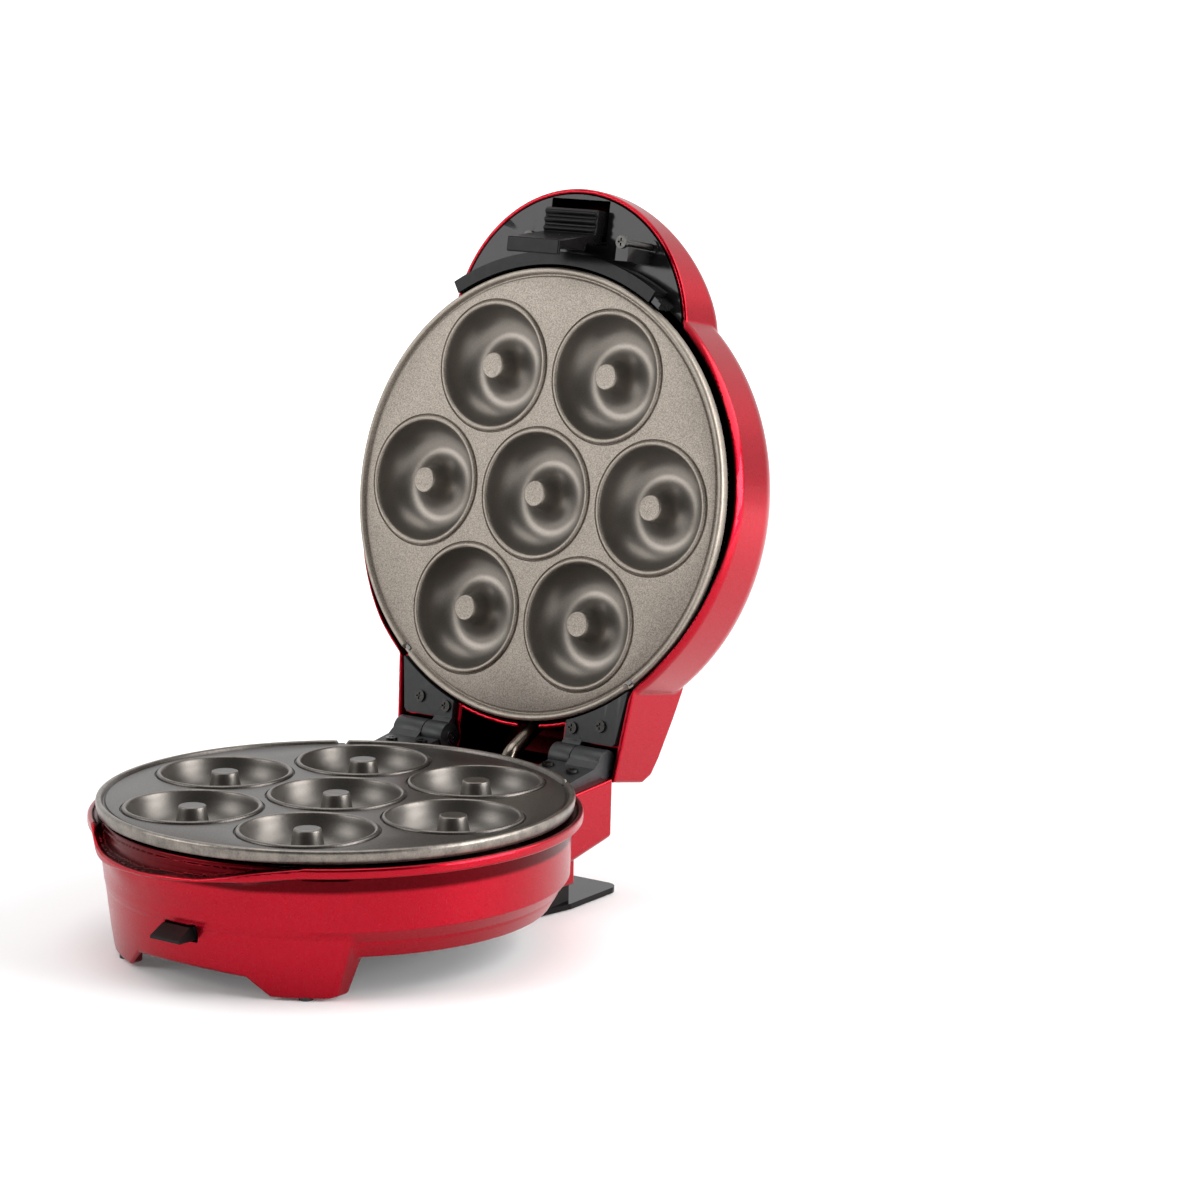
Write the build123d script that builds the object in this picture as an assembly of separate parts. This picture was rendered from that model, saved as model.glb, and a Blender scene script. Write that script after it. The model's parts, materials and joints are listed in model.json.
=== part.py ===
from build123d import *
import os
from math import sin, cos, tan, radians, degrees, sqrt, pi, atan2

# Countertop ring-cake maker: round heated base, hinged heated lid, two lift-out
# non-stick plates with seven ring-shaped cups each.  Millimetres.
# Working frame while modelling: z = 0 is the plane of the lower plate's rim, the
# round body's axis is x = y = 0, the hinge is at +Y, the front is at -Y.
# The whole model is moved at the end so that it stands on z = 0 with the centre
# of its box over the origin.

# ------------------------------------------------------------ driving dimensions
FLOOR = 63.2            # plate rim above the table
PLATE_R = 100.0         # plate outer radius
PITCH = 62.7            # cup centre to cup centre
CUP_IN = 27.0           # cup mouth radius
CUP_OUT = 29.5          # cup lip outer radius
CUP_DEPTH = 13.6        # cup depth
POST_TOP = 5.6          # centre post radius at its top
POST_BOT = 6.9          # centre post radius at its foot
SKIRT = 5.5             # plate skirt depth
PLATE_T = 2.2           # plate casting thickness
GAP = 2.0               # plate to plate, lid closed
HINGE_Y = 112.1         # hinge axis behind the plate centre
OPEN_DEG = 100.227      # lid swing from closed to its open stop
KNUCKLE_R = 6.2
PIN_R = 1.6
BODY_R = 103.5          # base rim flange radius
WALL_R = 98.6           # base wall radius
WALL_T = 2.4            # shell wall
LID_R = 103.9           # lid wall radius
LID_TOP = 41.0          # lid depth at its shoulder
HANDLE_V = 71.4         # handle bulge centre from the plate centre
HANDLE_R = 64.5         # handle bulge radius
LINER_W = -10.0         # face of the black handle liner behind the lid plate plane
GUARD_IN, GUARD_OUT = 101.3, 107.0
TAIL_X = 62.5           # base hinge box half width
LATCH_TRAVEL = 3.5
REFL_R = 93.0           # reflector screws
REFL_A = (30, 150, 210, 330)
CONDUIT_R = 3.5
CONDUIT_X = 9.0

TH = radians(OPEN_DEG - 90.0)
# lid plate centre with the lid open, from the hinge
LC_Y = HINGE_Y + HINGE_Y * sin(TH) + GAP * cos(TH)
LC_Z = HINGE_Y * cos(TH) - GAP * sin(TH)
LID = Plane(origin=(0, LC_Y, LC_Z), x_dir=(1, 0, 0), z_dir=(0, -cos(TH), sin(TH)))


def lid(shape):
    """Lid pieces are modelled flat: x across, y towards the handle, z out of the
    cooking face.  This stands them up in the open pose."""
    return LID.location * shape


def lidpt(x, v, w):
    p = LID.location * Pos(x, v, w)
    return (p.position.X, p.position.Y, p.position.Z)


def cyl(r, z0, z1, x=0.0, y=0.0):
    return Pos(x, y, (z0 + z1) / 2) * Cylinder(r, abs(z1 - z0))


def box(x0, x1, y0, y1, z0, z1):
    return Pos((x0 + x1) / 2, (y0 + y1) / 2, (z0 + z1) / 2) * Box(
        abs(x1 - x0), abs(y1 - y0), abs(z1 - z0))


def rev(points, sweep=360.0):
    """Revolve an (r, z) polygon about the z axis."""
    face = make_face(Plane.XZ * Polyline(*[(r, z) for r, z in points], close=True))
    return revolve(face, axis=Axis.Z, revolution_arc=sweep)


def prism_xz(points, y0, y1):
    """Polygon in x-z, extruded from y0 to y1."""
    face = make_face(Plane(origin=(0, y0, 0), x_dir=(1, 0, 0), z_dir=(0, 1, 0)) *
                     Polyline(*[(x, -z) for x, z in points], close=True))
    return extrude(face, amount=y1 - y0, dir=(0, 1, 0))


def prism_yz(points, x0, x1):
    """Polygon in y-z, extruded from x0 to x1."""
    face = make_face(Plane(origin=(x0, 0, 0), x_dir=(0, 1, 0), z_dir=(1, 0, 0)) *
                     Polyline(*points, close=True))
    return extrude(face, amount=x1 - x0, dir=(1, 0, 0))


def prism_xy(points, z0, z1):
    face = make_face(Plane(origin=(0, 0, z0)) * Polyline(*points, close=True))
    return extrude(face, amount=z1 - z0, dir=(0, 0, 1))


def mirror_x(shape):
    return mirror(shape, about=Plane.YZ)


def one(shape):
    """The largest solid of a result."""
    return max(shape.solids(), key=lambda s: s.volume)


def group(shapes):
    flat = []
    for s in shapes:
        flat += list(s.solids())
    return Compound(flat)


nodes = {}
CUPS = [(0.0, 0.0)] + [(PITCH * cos(radians(60 * i)), PITCH * sin(radians(60 * i))) for i in range(6)]

# ------------------------------------------------------------------ cooking plate
# hinge side is +Y here


def cup_outer():
    r, d, t = CUP_IN, CUP_DEPTH, PLATE_T
    pts = [(0, -1.5), (CUP_OUT + 0.3, -1.5), (CUP_OUT + 0.3, -4.0), (CUP_OUT - 0.6, -7.0),
           (CUP_OUT - 2.6, -11.0), (CUP_OUT - 6.2, -14.4), (20.0, -d - t), (12.5, -d - t),
           (0, -d - t)]
    return rev(pts)


def cup_trough():
    d = CUP_DEPTH
    with BuildPart() as p:
        with BuildSketch(Plane.XZ):
            with BuildLine():
                Polyline((POST_TOP, 1.0), (POST_TOP, -0.4), (POST_BOT, -d + 4.2))
                Spline((POST_BOT, -d + 4.2), (9.2, -d + 0.9), (14.5, -d), (20.6, -d + 1.5),
                       (25.0, -d + 6.2), (CUP_IN, -1.2), tangents=((0.15, -1.0), (0.02, 1.0)))
                Polyline((CUP_IN, -1.2), (CUP_IN, 1.0), (POST_TOP, 1.0))
            make_face()
        revolve(axis=Axis.Z)
    return p.part


def cooking_plate():
    rp = PLATE_R
    disc = rev([(0, -1.0), (95.6, -1.0), (96.0, -1.9), (97.2, -1.9), (97.6, -0.3), (98.2, 0),
                (99.3, 0), (rp, -0.8), (rp, -2.0), (rp - 0.8, -SKIRT), (rp - 2.8, -SKIRT),
                (rp - 2.2, -3.4), (0, -3.4)])
    ring = rev([(CUP_IN - 0.6, -1.3), (CUP_IN + 0.1, -0.35), (CUP_IN + 1.0, -0.1),
                (CUP_OUT - 0.9, -0.3), (CUP_OUT, -1.3)])
    ring = revolve(make_face(Plane.XZ * Polyline((0, -1.3), (CUP_OUT, -1.3), (CUP_OUT - 0.8, -0.3),
                   (CUP_IN + 1.0, -0.1), (CUP_IN, -0.1), (0, -0.1), close=True)), axis=Axis.Z)
    post = rev([(0, 0), (POST_TOP - 0.5, 0), (POST_TOP, -0.5), (POST_TOP, -1.3), (0, -1.3)])
    bowl, trough = cup_outer(), cup_trough()
    p = disc
    for cx, cy in CUPS:
        p = p + Pos(cx, cy, 0) * bowl
        p = p + Pos(cx, cy, 0) * ring
    for cx, cy in CUPS:
        p = p - Pos(cx, cy, 0) * trough
    # rear rim: two small notches for the locating posts, and a shallow step between
    for s in (-1, 1):
        p = p - Pos(s * 62.4, 76.4, -3) * Rot(0, 0, -s * 39.2) * Box(3.4, 6.0, 12)
    # catch lug under the front rim
    p = p + box(-5, 5, -95.4, -94.2, -11.0, -3.0) + box(-5, 5, -94.3, -93.7, -11.0, -10.0)
    return one(p)


plate = cooking_plate()
nodes["base_cooking_plate"] = plate
nodes["lid_cooking_plate"] = lid(Rot(0, 0, 180) * plate)

# --------------------------------------------------------------------- base shell
RIM_TOP, RIM_BOT = -6.4, -10.7
# height of the front rim across the scoop, left to right
SCOOP = [(-59.4, RIM_TOP), (-56.8, -9.3), (-55.1, -12.0), (-52.1, -13.8), (-45.9, -15.3), (-37.2, -15.8), (-27.9, -16.0),
         (-17.6, -15.6), (-13.0, -14.5), (-3.5, -14.3), (7.1, -14.2), (14.6, -13.7), (21.0, -12.6), (27.9, -11.2),
         (34.6, -9.8), (41.4, -8.4), (47.5, -7.6), (52.0, -7.0), (56.0, RIM_TOP)]
TAIL_TOP0, TAIL_TOP1 = -7.2, -5.2      # deck height at y = 84 and y = 110


def deck_z(y):
    return TAIL_TOP0 + (TAIL_TOP1 - TAIL_TOP0) * (y - 84.0) / 26.0


def base_outline(t):
    """Round body as a filled solid, t inside its outer faces."""
    if t == 0:
        return rev([(0, RIM_TOP), (BODY_R - 0.8, RIM_TOP), (BODY_R, RIM_TOP - 0.8), (BODY_R, RIM_BOT + 0.8),
                    (BODY_R - 0.8, RIM_BOT), (WALL_R + 0.4, RIM_BOT - 0.4), (WALL_R, -13.0), (97.9, -33.6),
                    (94.0, -38.8), (93.4, -40.2), (89.8, -46.2), (0, -46.2)])
    return rev([(0, 10), (101.0, 10), (101.0, -7.1), (96.2, -7.1), (96.2, -12.0), (95.5, -32.8),
                (91.6, -38.0), (91.0, -39.6), (87.4, -60), (87.2, -70), (0, -70)])


def base_tail(t):
    """Hinge box behind the round body."""
    x = TAIL_X - t
    pts = [(70, deck_z(70) - t), (110.2 - t, deck_z(110.2) - t), (109.2 - t, -33.4 + t * 0.8),
           (82.0, -39.0 + t), (70, -39.0 + t)]
    return prism_yz(pts, -x, x)


def base_shell():
    solid = base_outline(0)
    # flared lip of the front scoop, shallower in the middle where the lid's latch hooks under it
    flare = rev([(90, RIM_TOP), (BODY_R, RIM_TOP), (BODY_R, -16.9), (101.6, -17.5), (100.4, -17.8),
                 (99.5, -19.6), (98.6, -24.0), (90, -24.0)])
    flare = flare & prism_xz([(-15.2, 0), (66, 0), (66, -10.9), (34, -26), (-15.2, -26)], -120, -60)
    flare = flare + (rev([(90, RIM_TOP), (BODY_R, RIM_TOP), (BODY_R, -19.6), (101.8, -20.6), (100.2, -22.2),
                          (99.2, -24.6), (98.3, -28.0), (90, -28.0)])
                     & prism_xz([(-59, 0), (-15.2, 0), (-15.2, -30), (-42, -30), (-59, -20)], -120, -60))
    # front panel carrying the feet
    panel = rev([(80, -12), (98.5, -12), (97.0, -27.6), (95.6, -40.0), (93.8, -FLOOR + 0.6), (80, -FLOOR + 0.6)])
    panel = panel & prism_xz([(-69, -12), (69, -12), (68, -33), (60.9, -59.2), (60.4, -60.9), (59.3, -62.1), (57.6, -FLOOR + 0.6),
                              (-57.6, -FLOOR + 0.6), (-59.3, -62.1), (-60.4, -60.9), (-60.9, -59.2), (-68, -33)], -120, -56)
    feet_cut = prism_xz([(-28.5, -52.4), (0, -51.0), (28.5, -52.4), (37.7, -FLOOR - 2), (-37.7, -FLOOR - 2)], -120, -50)
    panel = panel - feet_cut
    # hollow behind the panel between the feet, feet themselves stay 9 mm deep
    panel = panel - (rev([(0, 0), (92.6, 0), (90.8, -70), (0, -70)]) & prism_xz(
        [(-36, 0), (36, 0), (36, -70), (-36, -70)], -120, -50))
    # rear column over the rear foot
    column = box(-50.5, 50.5, 72.0, 99.0, -51.8, -36.0)
    solid = solid + flare + panel + base_tail(0) + column
    well = base_outline(WALL_T)
    solid = solid - well - base_tail(WALL_T)
    solid = solid - box(-48.1, 48.1, 68.0, 96.6, -60, -36.0)
    # keep the interior of the panel clear of the round cavity
    solid = solid - rev([(0, -12), (95.9, -12), (95.2, -32.8), (91.3, -38.0), (88.6, -44.0), (0, -44.0)])
    # deck across the hinge box, behind the plate well
    deck = prism_yz([(80, deck_z(80)), (110, deck_z(110)), (110, deck_z(110) - WALL_T), (80, deck_z(80) - WALL_T)],
                    -TAIL_X, TAIL_X) - cyl(101.0, -30, 10)
    solid = solid + deck
    # scoop in the front rim, outside the collar that surrounds the reflector
    solid = solid - (prism_xz([(SCOOP[0][0], 4)] + SCOOP + [(SCOOP[-1][0], 4)], -120, -60) - cyl(98.4, -60, 20))
    valley = [(x * 0.985, z - 1.2) for x, z in SCOOP[2:-3]]
    solid = solid - (prism_xz([(valley[0][0], 4)] + valley + [(valley[-1][0], 4)], -120, -60) & (cyl(101.1, -60, 20) - cyl(99.0, -60, 20)))
    solid = solid - (prism_xz([(-57, 4), (-57, -9.3), (44, -9.3), (44, 4)], -120, -60) & (cyl(100.0, -60, 20) - cyl(97.9, -60, 20)))
    # bevel on the lower edge of the hinge box sides
    for s in (-1, 1):
        bev = prism_xz([(s * (TAIL_X - 2.2), 0), (s * (TAIL_X + 3), 0), (s * (TAIL_X + 3), 6), (s * TAIL_X + s * 0.01, 2.4)], 60, 112)
        solid = solid - Pos(0, 82, -39.0) * Rot(X=degrees(atan2(5.6, 26.4))) * Pos(0, -82, 0) * bev
    # hinge recess in the deck, hinge screw holes, conduit hole, release slot, cord hole
    for s in (-1, 1):
        solid = solid - Pos(s * 43.6, HINGE_Y, 0) * Rot(Y=90) * Cylinder(KNUCKLE_R + 0.5, 29.6)
        solid = solid - cyl(1.45, -20, 5, s * 35.5, 99.0) - cyl(1.45, -20, 5, s * 50.5, 96.4)
    solid = solid - cyl(CONDUIT_R + 0.6, -16, 5, CONDUIT_X, 103.6)
    solid = solid - box(-46.0, -14.0, 82.0, 95.0, -42.0, -30.0)
    solid = solid - box(-8.4, 8.4, -100, -88, -42.2, -36.0)
    solid = solid - Pos(-30, 108, -22) * Rot(X=90) * Cylinder(6.1, 12)
    # screw bosses for the bottom cover and for the reflector
    for a in (45, 135, 225, 315):
        bx, by = 78 * cos(radians(a)), 78 * sin(radians(a))
        rib = Pos(bx, by, -38.6) * Cylinder(3.6, 9.6)
        arm = Pos(0, 0, -38.6) * Rot(0, 0, a) * box(78, 92.0, -1.5, 1.5, -4.8, 4.8)
        solid = solid + rib + arm - cyl(1.3, -50, -36, bx, by)
    for a in REFL_A:
        bx, by = REFL_R * cos(radians(a)), REFL_R * sin(radians(a))
        solid = solid + cyl(3.4, -18.0, -9.9, bx, by) - cyl(1.3, -17, -8, bx, by)
    return one(solid)


nodes["base_shell"] = base_shell()

# ------------------------------------------------------- base bottom, foot, pads
bottom = rev([(0, -43.8), (87.2, -43.8), (86.4, -46.0), (0, -46.0)])
bottom = bottom - box(-48.3, 48.3, 74.0, 100, -50, -40)
for a in (45, 135, 225, 315):
    bx, by = 78 * cos(radians(a)), 78 * sin(radians(a))
    bottom = bottom - cyl(1.7, -50, -40, bx, by)
for i in range(7):
    for s in (-1, 1):
        y = -24 + i * 8
        bottom = bottom - Pos(s * 26, y, -45) * Box(32, 3, 6)
nodes["base_bottom_cover"] = one(bottom)

screws = []
for a in (45, 135, 225, 315):
    bx, by = 78 * cos(radians(a)), 78 * sin(radians(a))
    screws.append(cyl(2.8, -48.0, -46.0, bx, by) + cyl(1.3, -46.0, -36.5, bx, by))
nodes["bottom_cover_screws"] = group(screws)

foot = prism_xy([(-46.5, 74), (46.5, 74), (48, 84), (48, 98), (-48, 98), (-48, 84)], -60.6, -51.8)
flange = extrude(fillet(make_face(Plane(origin=(0, 0, -FLOOR + 0.5)) * Polyline(
    (-46.4, 74), (46.4, 74), (50, 97), (47.6, 136), (-47.6, 136), (-50, 97), close=True)).vertices().group_by(Axis.Y)[-1], 7), amount=2.5, dir=(0, 0, 1))
foot = foot + flange
foot = foot - box(-43, 43, 79, 94.5, -70, -54.5)
for s in (-1, 1):
    foot = foot + cyl(4.0, -61.0, -54.0, s * 34, 87)
    foot = foot - cyl(1.7, -70, -50, s * 34, 87) - cyl(3.2, -70, -57.5, s * 34, 87)
    foot = foot - cyl(5.0, -FLOOR, -FLOOR + 1.3, s * 38, 126)
nodes["rear_foot"] = one(foot)
lug = []
for s in (-1, 1):
    lug.append(cyl(2.9, -59.3, -57.5, s * 34, 87) + cyl(1.5, -57.5, -45.0, s * 34, 87))
nodes["rear_foot_screws"] = group(lug)

# the column's floor takes the rear foot's screws
floor_plate = box(-48.0, 48.0, 74.2, 96.5, -51.8, -49.4)
for s in (-1, 1):
    floor_plate = floor_plate + cyl(4.0, -49.6, -42.5, s * 34, 87) - cyl(1.5, -60, -44.0, s * 34, 87)
nodes["rear_foot_bracket"] = one(floor_plate)

pads = []
for s in (-1, 1):
    pads.append(cyl(2.9, -FLOOR, -FLOOR + 1.8, s * 49.0, -75.9))
    pads.append(cyl(4.8, -FLOOR, -FLOOR + 1.3, s * 38, 126))
nodes["foot_pads"] = group(pads)
nodes["base_shell"] = one(nodes["base_shell"] - cyl(2.9, -70, -FLOOR + 1.8, 49.0, -75.9) - cyl(2.9, -70, -FLOOR + 1.8, -49.0, -75.9))

# ------------------------------------------------------ base reflector and heater


def reflector():
    r = rev([(95.4, -8.9), (95.4, -9.9), (94.2, -9.9), (85.6, -28.0), (0, -28.0), (0, -27.0), (84.9, -27.0), (93.5, -8.9)])
    for a in REFL_A:
        bx, by = REFL_R * cos(radians(a)), REFL_R * sin(radians(a))
        # scalloped wall under each fixing ear
        r = r - cyl(4.0, -30, -8.8, bx, by)
        ear = (cyl(4.6, -9.9, -8.9, bx, by) & cyl(95.4, -12, -8)) - cyl(1.6, -12, -6, bx, by)
        r = r + ear
    return r


refl = reflector() - box(-11, 11, 78, 100, -26, -16) - box(-7, 7, -100, -83, -30, -5)
nodes["base_heat_reflector"] = one(refl)
rs = []
for a in REFL_A:
    bx, by = REFL_R * cos(radians(a)), REFL_R * sin(radians(a))
    rs.append(cyl(2.4, -8.9, -7.4, bx, by) + cyl(1.25, -16.5, -8.9, bx, by))
nodes["base_reflector_screws"] = group(rs)


def heater(z, r=45.0, half=14.0, lead=84.0):
    a0 = 90 - half
    start = (r * cos(radians(a0)), r * sin(radians(a0)))
    with BuildPart() as p:
        with BuildLine(Plane(origin=(0, 0, z))) as path:
            ring = CenterArc((0, 0), r, a0, -(360 - 2 * half))
            j1 = JernArc(ring @ 1, ring % 1, 6.0, 90 - half)
            Line(j1 @ 1, ((j1 @ 1).X, lead))
            j0 = JernArc(ring @ 0, -(ring % 0), 6.0, -(90 - half))
            Line(j0 @ 1, ((j0 @ 1).X, lead))
        end = path.wires()[0] @ 0
        tan0 = path.wires()[0] % 0
        with BuildSketch(Plane(origin=end, z_dir=tan0)):
            Circle(3.3)
        sweep(path=path.wires()[0])
    return p.part


base_heater = heater(-21.6)
nodes["base_heating_element"] = one(base_heater)
nodes["base_element_clips"] = group([
    Rot(0, 0, a) * (box(41.0, 49.0, -3, 3, -27.0, -25.0)) for a in (-30, 90 + 120, 0 + 180 + 30 - 120)])

# terminal block, thermostat and fuse in the base
nodes["base_thermostat"] = one(cyl(8.0, -36.0, -28.0, 0, 12) + box(-10, 10, 8, 16, -29.2, -28.0))
nodes["base_thermal_fuse"] = one(Pos(0, -20, -31) * Rot(Y=90) * Cylinder(2.0, 26))
block = box(-44, -16, 84, 93, -40, -30) - box(-41, -35, 82, 97, -38, -33) - box(-32, -27, 82, 97, -38, -33) - box(-24, -19, 82, 97, -38, -33)
nodes["terminal_block"] = one(block + box(-27, -20, 85.5, 91.5, -49.4, -39.8))

# ---------------------------------------------------------- cord inlet, no cord
gland = Pos(-30, 108, -22) * Rot(X=-90) * (Pos(0, 0, 3.6) * Cylinder(8.2, 3.0) + Pos(0, 0, -1.0) * Cylinder(5.9, 6.8) + Pos(0, 0, -5.6) * Cylinder(7.4, 2.4))
gland = gland - Pos(-30, 108, -22) * Rot(X=-90) * Cylinder(3.8, 30)
nodes["cord_gland"] = one(gland)

# ---------------------------------------------------------- base plate release tab
tab = prism_yz([(-90.0, -37.0), (-95.2, -36.6), (-97.5, -36.4), (-105.0, -40.2), (-105.0, -41.4), (-97.0, -41.6), (-90.0, -41.6)], -8.0, 8.0)
tab = tab - prism_xz([(4.8, -30), (9, -30), (9, -43), (8.4, -43)], -110, -95.6)
arm = box(-4.5, 4.5, -91.4, -89.8, -41.0, -11.4) + box(-4.5, 4.5, -93.4, -91.2, -12.6, -11.4) + box(-6, 6, -91.4, -89.8, -41.0, -35.0)
tab = tab + arm
nodes["base_release_tab"] = one(tab)
nodes["base_release_spring"] = one(Pos(0, -86.2, -38.8) * Rot(X=90) * (Cylinder(2.6, 7.2) - Cylinder(1.9, 9)))
nodes["base_spring_stop"] = one(box(-6, 6, -82.6, -80.6, -43.8, -35.0))

# rear locating posts for the lower plate
posts = []
for s in (-1, 1):
    q = Rot(0, 0, -s * 39.2) * box(-1.3, 1.3, 97.0, 98.7, -7.0, -1.2)
    posts.append(q + Rot(0, 0, -s * 39.2) * box(-4.0, 4.0, 96.6, 99.8, -7.1, -6.7))
nodes["base_plate_locators"] = group(posts)

# ---------------------------------------------------------------------- hinges
AX = (HINGE_Y, 0.0)


def xcyl(r, x0, x1, y, z):
    return Pos((x0 + x1) / 2, y, z) * Rot(Y=90) * Cylinder(r, abs(x1 - x0))


def lower_leaf():
    # wedge-shaped leaf with the outer knuckle
    leaf = prism_yz([(84.5, deck_z(84.5)), (84.5, -3.8), (104.5, -0.3), (108.0, -0.3), (108.0, deck_z(108.0))], 31.0, 57.5)
    leaf = leaf - cyl(101.2, -30, 10) - cyl(103.7, -30, RIM_TOP + 0.1)
    leaf = leaf - xcyl(KNUCKLE_R + 0.45, 20, 41.7, *AX)
    knuckle = xcyl(KNUCKLE_R, 41.7, 57.5, *AX)
    web = prism_yz([(103.0, deck_z(103) + 0.4), (103.0, -0.5), (108.0, 3.0), (112.1, -2.0), (109.5, -5.0)], 41.7, 57.5)
    leaf = leaf + knuckle + web
    leaf = leaf - xcyl(PIN_R + 0.05, 20, 54.5, *AX)
    leaf = leaf - cyl(1.6, -20, 5, 35.5, 99.0) - cyl(1.6, -20, 5, 50.5, 96.4)
    return one(leaf)


def upper_leaf():
    # modelled in the lid's frame
    pts = [(31.5, -90.0), (31.5, -107.5), (41.3, -107.5), (41.3, -104.3), (57.6, -104.3), (59.0, -102.8), (62.6, -80.0), (58, -74)]
    leaf = prism_xy(pts, -3.0, 0.0)
    leaf = leaf - cyl(101.2, -10, 10)
    knuckle = xcyl(KNUCKLE_R, 30.0, 41.3, -HINGE_Y, GAP)
    web = prism_yz([(-106.0, -3.0), (-104.0, -2.0), (-104.0, 0.0), (-107.5, 3.0), (-112.1, 4.0), (-114.0, -2.0), (-110.0, -3.6)], 31.5, 41.3)
    leaf = leaf + knuckle + web
    leaf = leaf - xcyl(PIN_R + 0.05, 20, 45, -HINGE_Y, GAP)
    leaf = leaf - cyl(1.6, -10, 5, 35.5, -99.0) - cyl(1.6, -10, 5, 50.5, -96.4)
    return one(leaf)


ll, ul = lower_leaf(), upper_leaf()
nodes["lower_hinge_leaf_right"] = ll
nodes["lower_hinge_leaf_left"] = one(mirror_x(ll))
nodes["upper_hinge_leaf_right"] = lid(ul)
nodes["upper_hinge_leaf_left"] = lid(one(mirror_x(ul)))
pin = xcyl(PIN_R, 29.0, 54.0, *AX) + xcyl(2.6, 28.9, 29.9, *AX)
nodes["hinge_pin_right"] = one(pin)
nodes["hinge_pin_left"] = one(mirror_x(pin))


def leaf_screw(x, y, top, deep):
    s = cyl(2.7, top, top + 1.1, x, y) + cyl(1.4, top - deep, top, x, y)
    s = s - Pos(x, y, top + 1.1) * (Box(3.2, 0.7, 1.4) + Box(0.7, 3.2, 1.4))
    return s


lows = []
for s in (-1, 1):
    lows.append(leaf_screw(s * 35.5, 99.0, -1.0, 11.0))
    lows.append(leaf_screw(s * 50.5, 96.4, -1.4, 11.0))
for s in (-1, 1):
    for nm in ("right", "left"):
        k = "lower_hinge_leaf_" + nm
        for (x, y, t) in ((35.5, 99.0, -1.0), (50.5, 96.4, -1.4)):
            nodes[k] = one(nodes[k] - cyl(2.9, t, t + 4, s * x, y))
nodes["lower_hinge_screws"] = group(lows)
ups = []
for s in (-1, 1):
    ups.append(leaf_screw(s * 35.5, -99.0, 0.0, 9.0))
    ups.append(leaf_screw(s * 50.5, -96.4, 0.0, 9.0))
nodes["upper_hinge_screws"] = group([lid(u) for u in ups])

# -------------------------------------------------------------------- lid shell
# lid frame: x across, y towards the handle, z out of the cooking face


def ramp(v):
    """height of the lid rim's outer edge"""
    if v > 0:
        return -10.0
    if v < -65:
        return -3.0
    return -10.0 + 7.0 * (-v) / 65.0


LINER_FIX = ((-26.0, 113.0), (41.0, 112.4))


def lid_solid(t):
    top = -LID_TOP + t
    r = LID_R - t
    c = 13.0
    n = 6
    pts = [(0, -2.0), (r, -2.0), (r - 0.4, top + c)]
    for i in range(1, n + 1):
        a = radians(90.0 * i / n)
        pts.append((r - 0.4 - c + c * cos(a), top + c - c * sin(a)))
    pts.append((0, top - 2.2))
    dish = rev(pts)
    # handle bulge, thinner towards its tip
    hr = HANDLE_R - t
    bulge = cyl(hr, -2.0, top, 0, HANDLE_V)
    slope = prism_yz([(20, top - 20), (20, top + 1), (78, top + 1), (104, top + 6.0), (124, top + 12.0), (140, top + 20.0), (140, top - 20)], -90, 90)
    bulge = bulge - slope
    # hinge tail
    tp = [(-60, 3.0 if t else 0.0), (-60, -37.0 + t), (-75.4, -38.3 + t), (-89.7, -35.3 + t), (-108, -30.4 + t), (-113.6, -28.4 + t),
          (-117.6, -26.2 + t), (-119.4 + t, -23.4 + t), (-119.8 + t, 3.0 if t else 0.0)]
    tail = prism_yz([(v, w) for v, w in tp], -70, 70)
    # side taper of the tail
    tail = tail & prism_xy([(-66.6 + t, -60), (66.6 - t, -60), (65.8 - t, -79), (60.9 - t, -121), (-60.9 + t, -121), (-65.8 + t, -79)], -60, 10)
    return dish, bulge, tail


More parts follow.
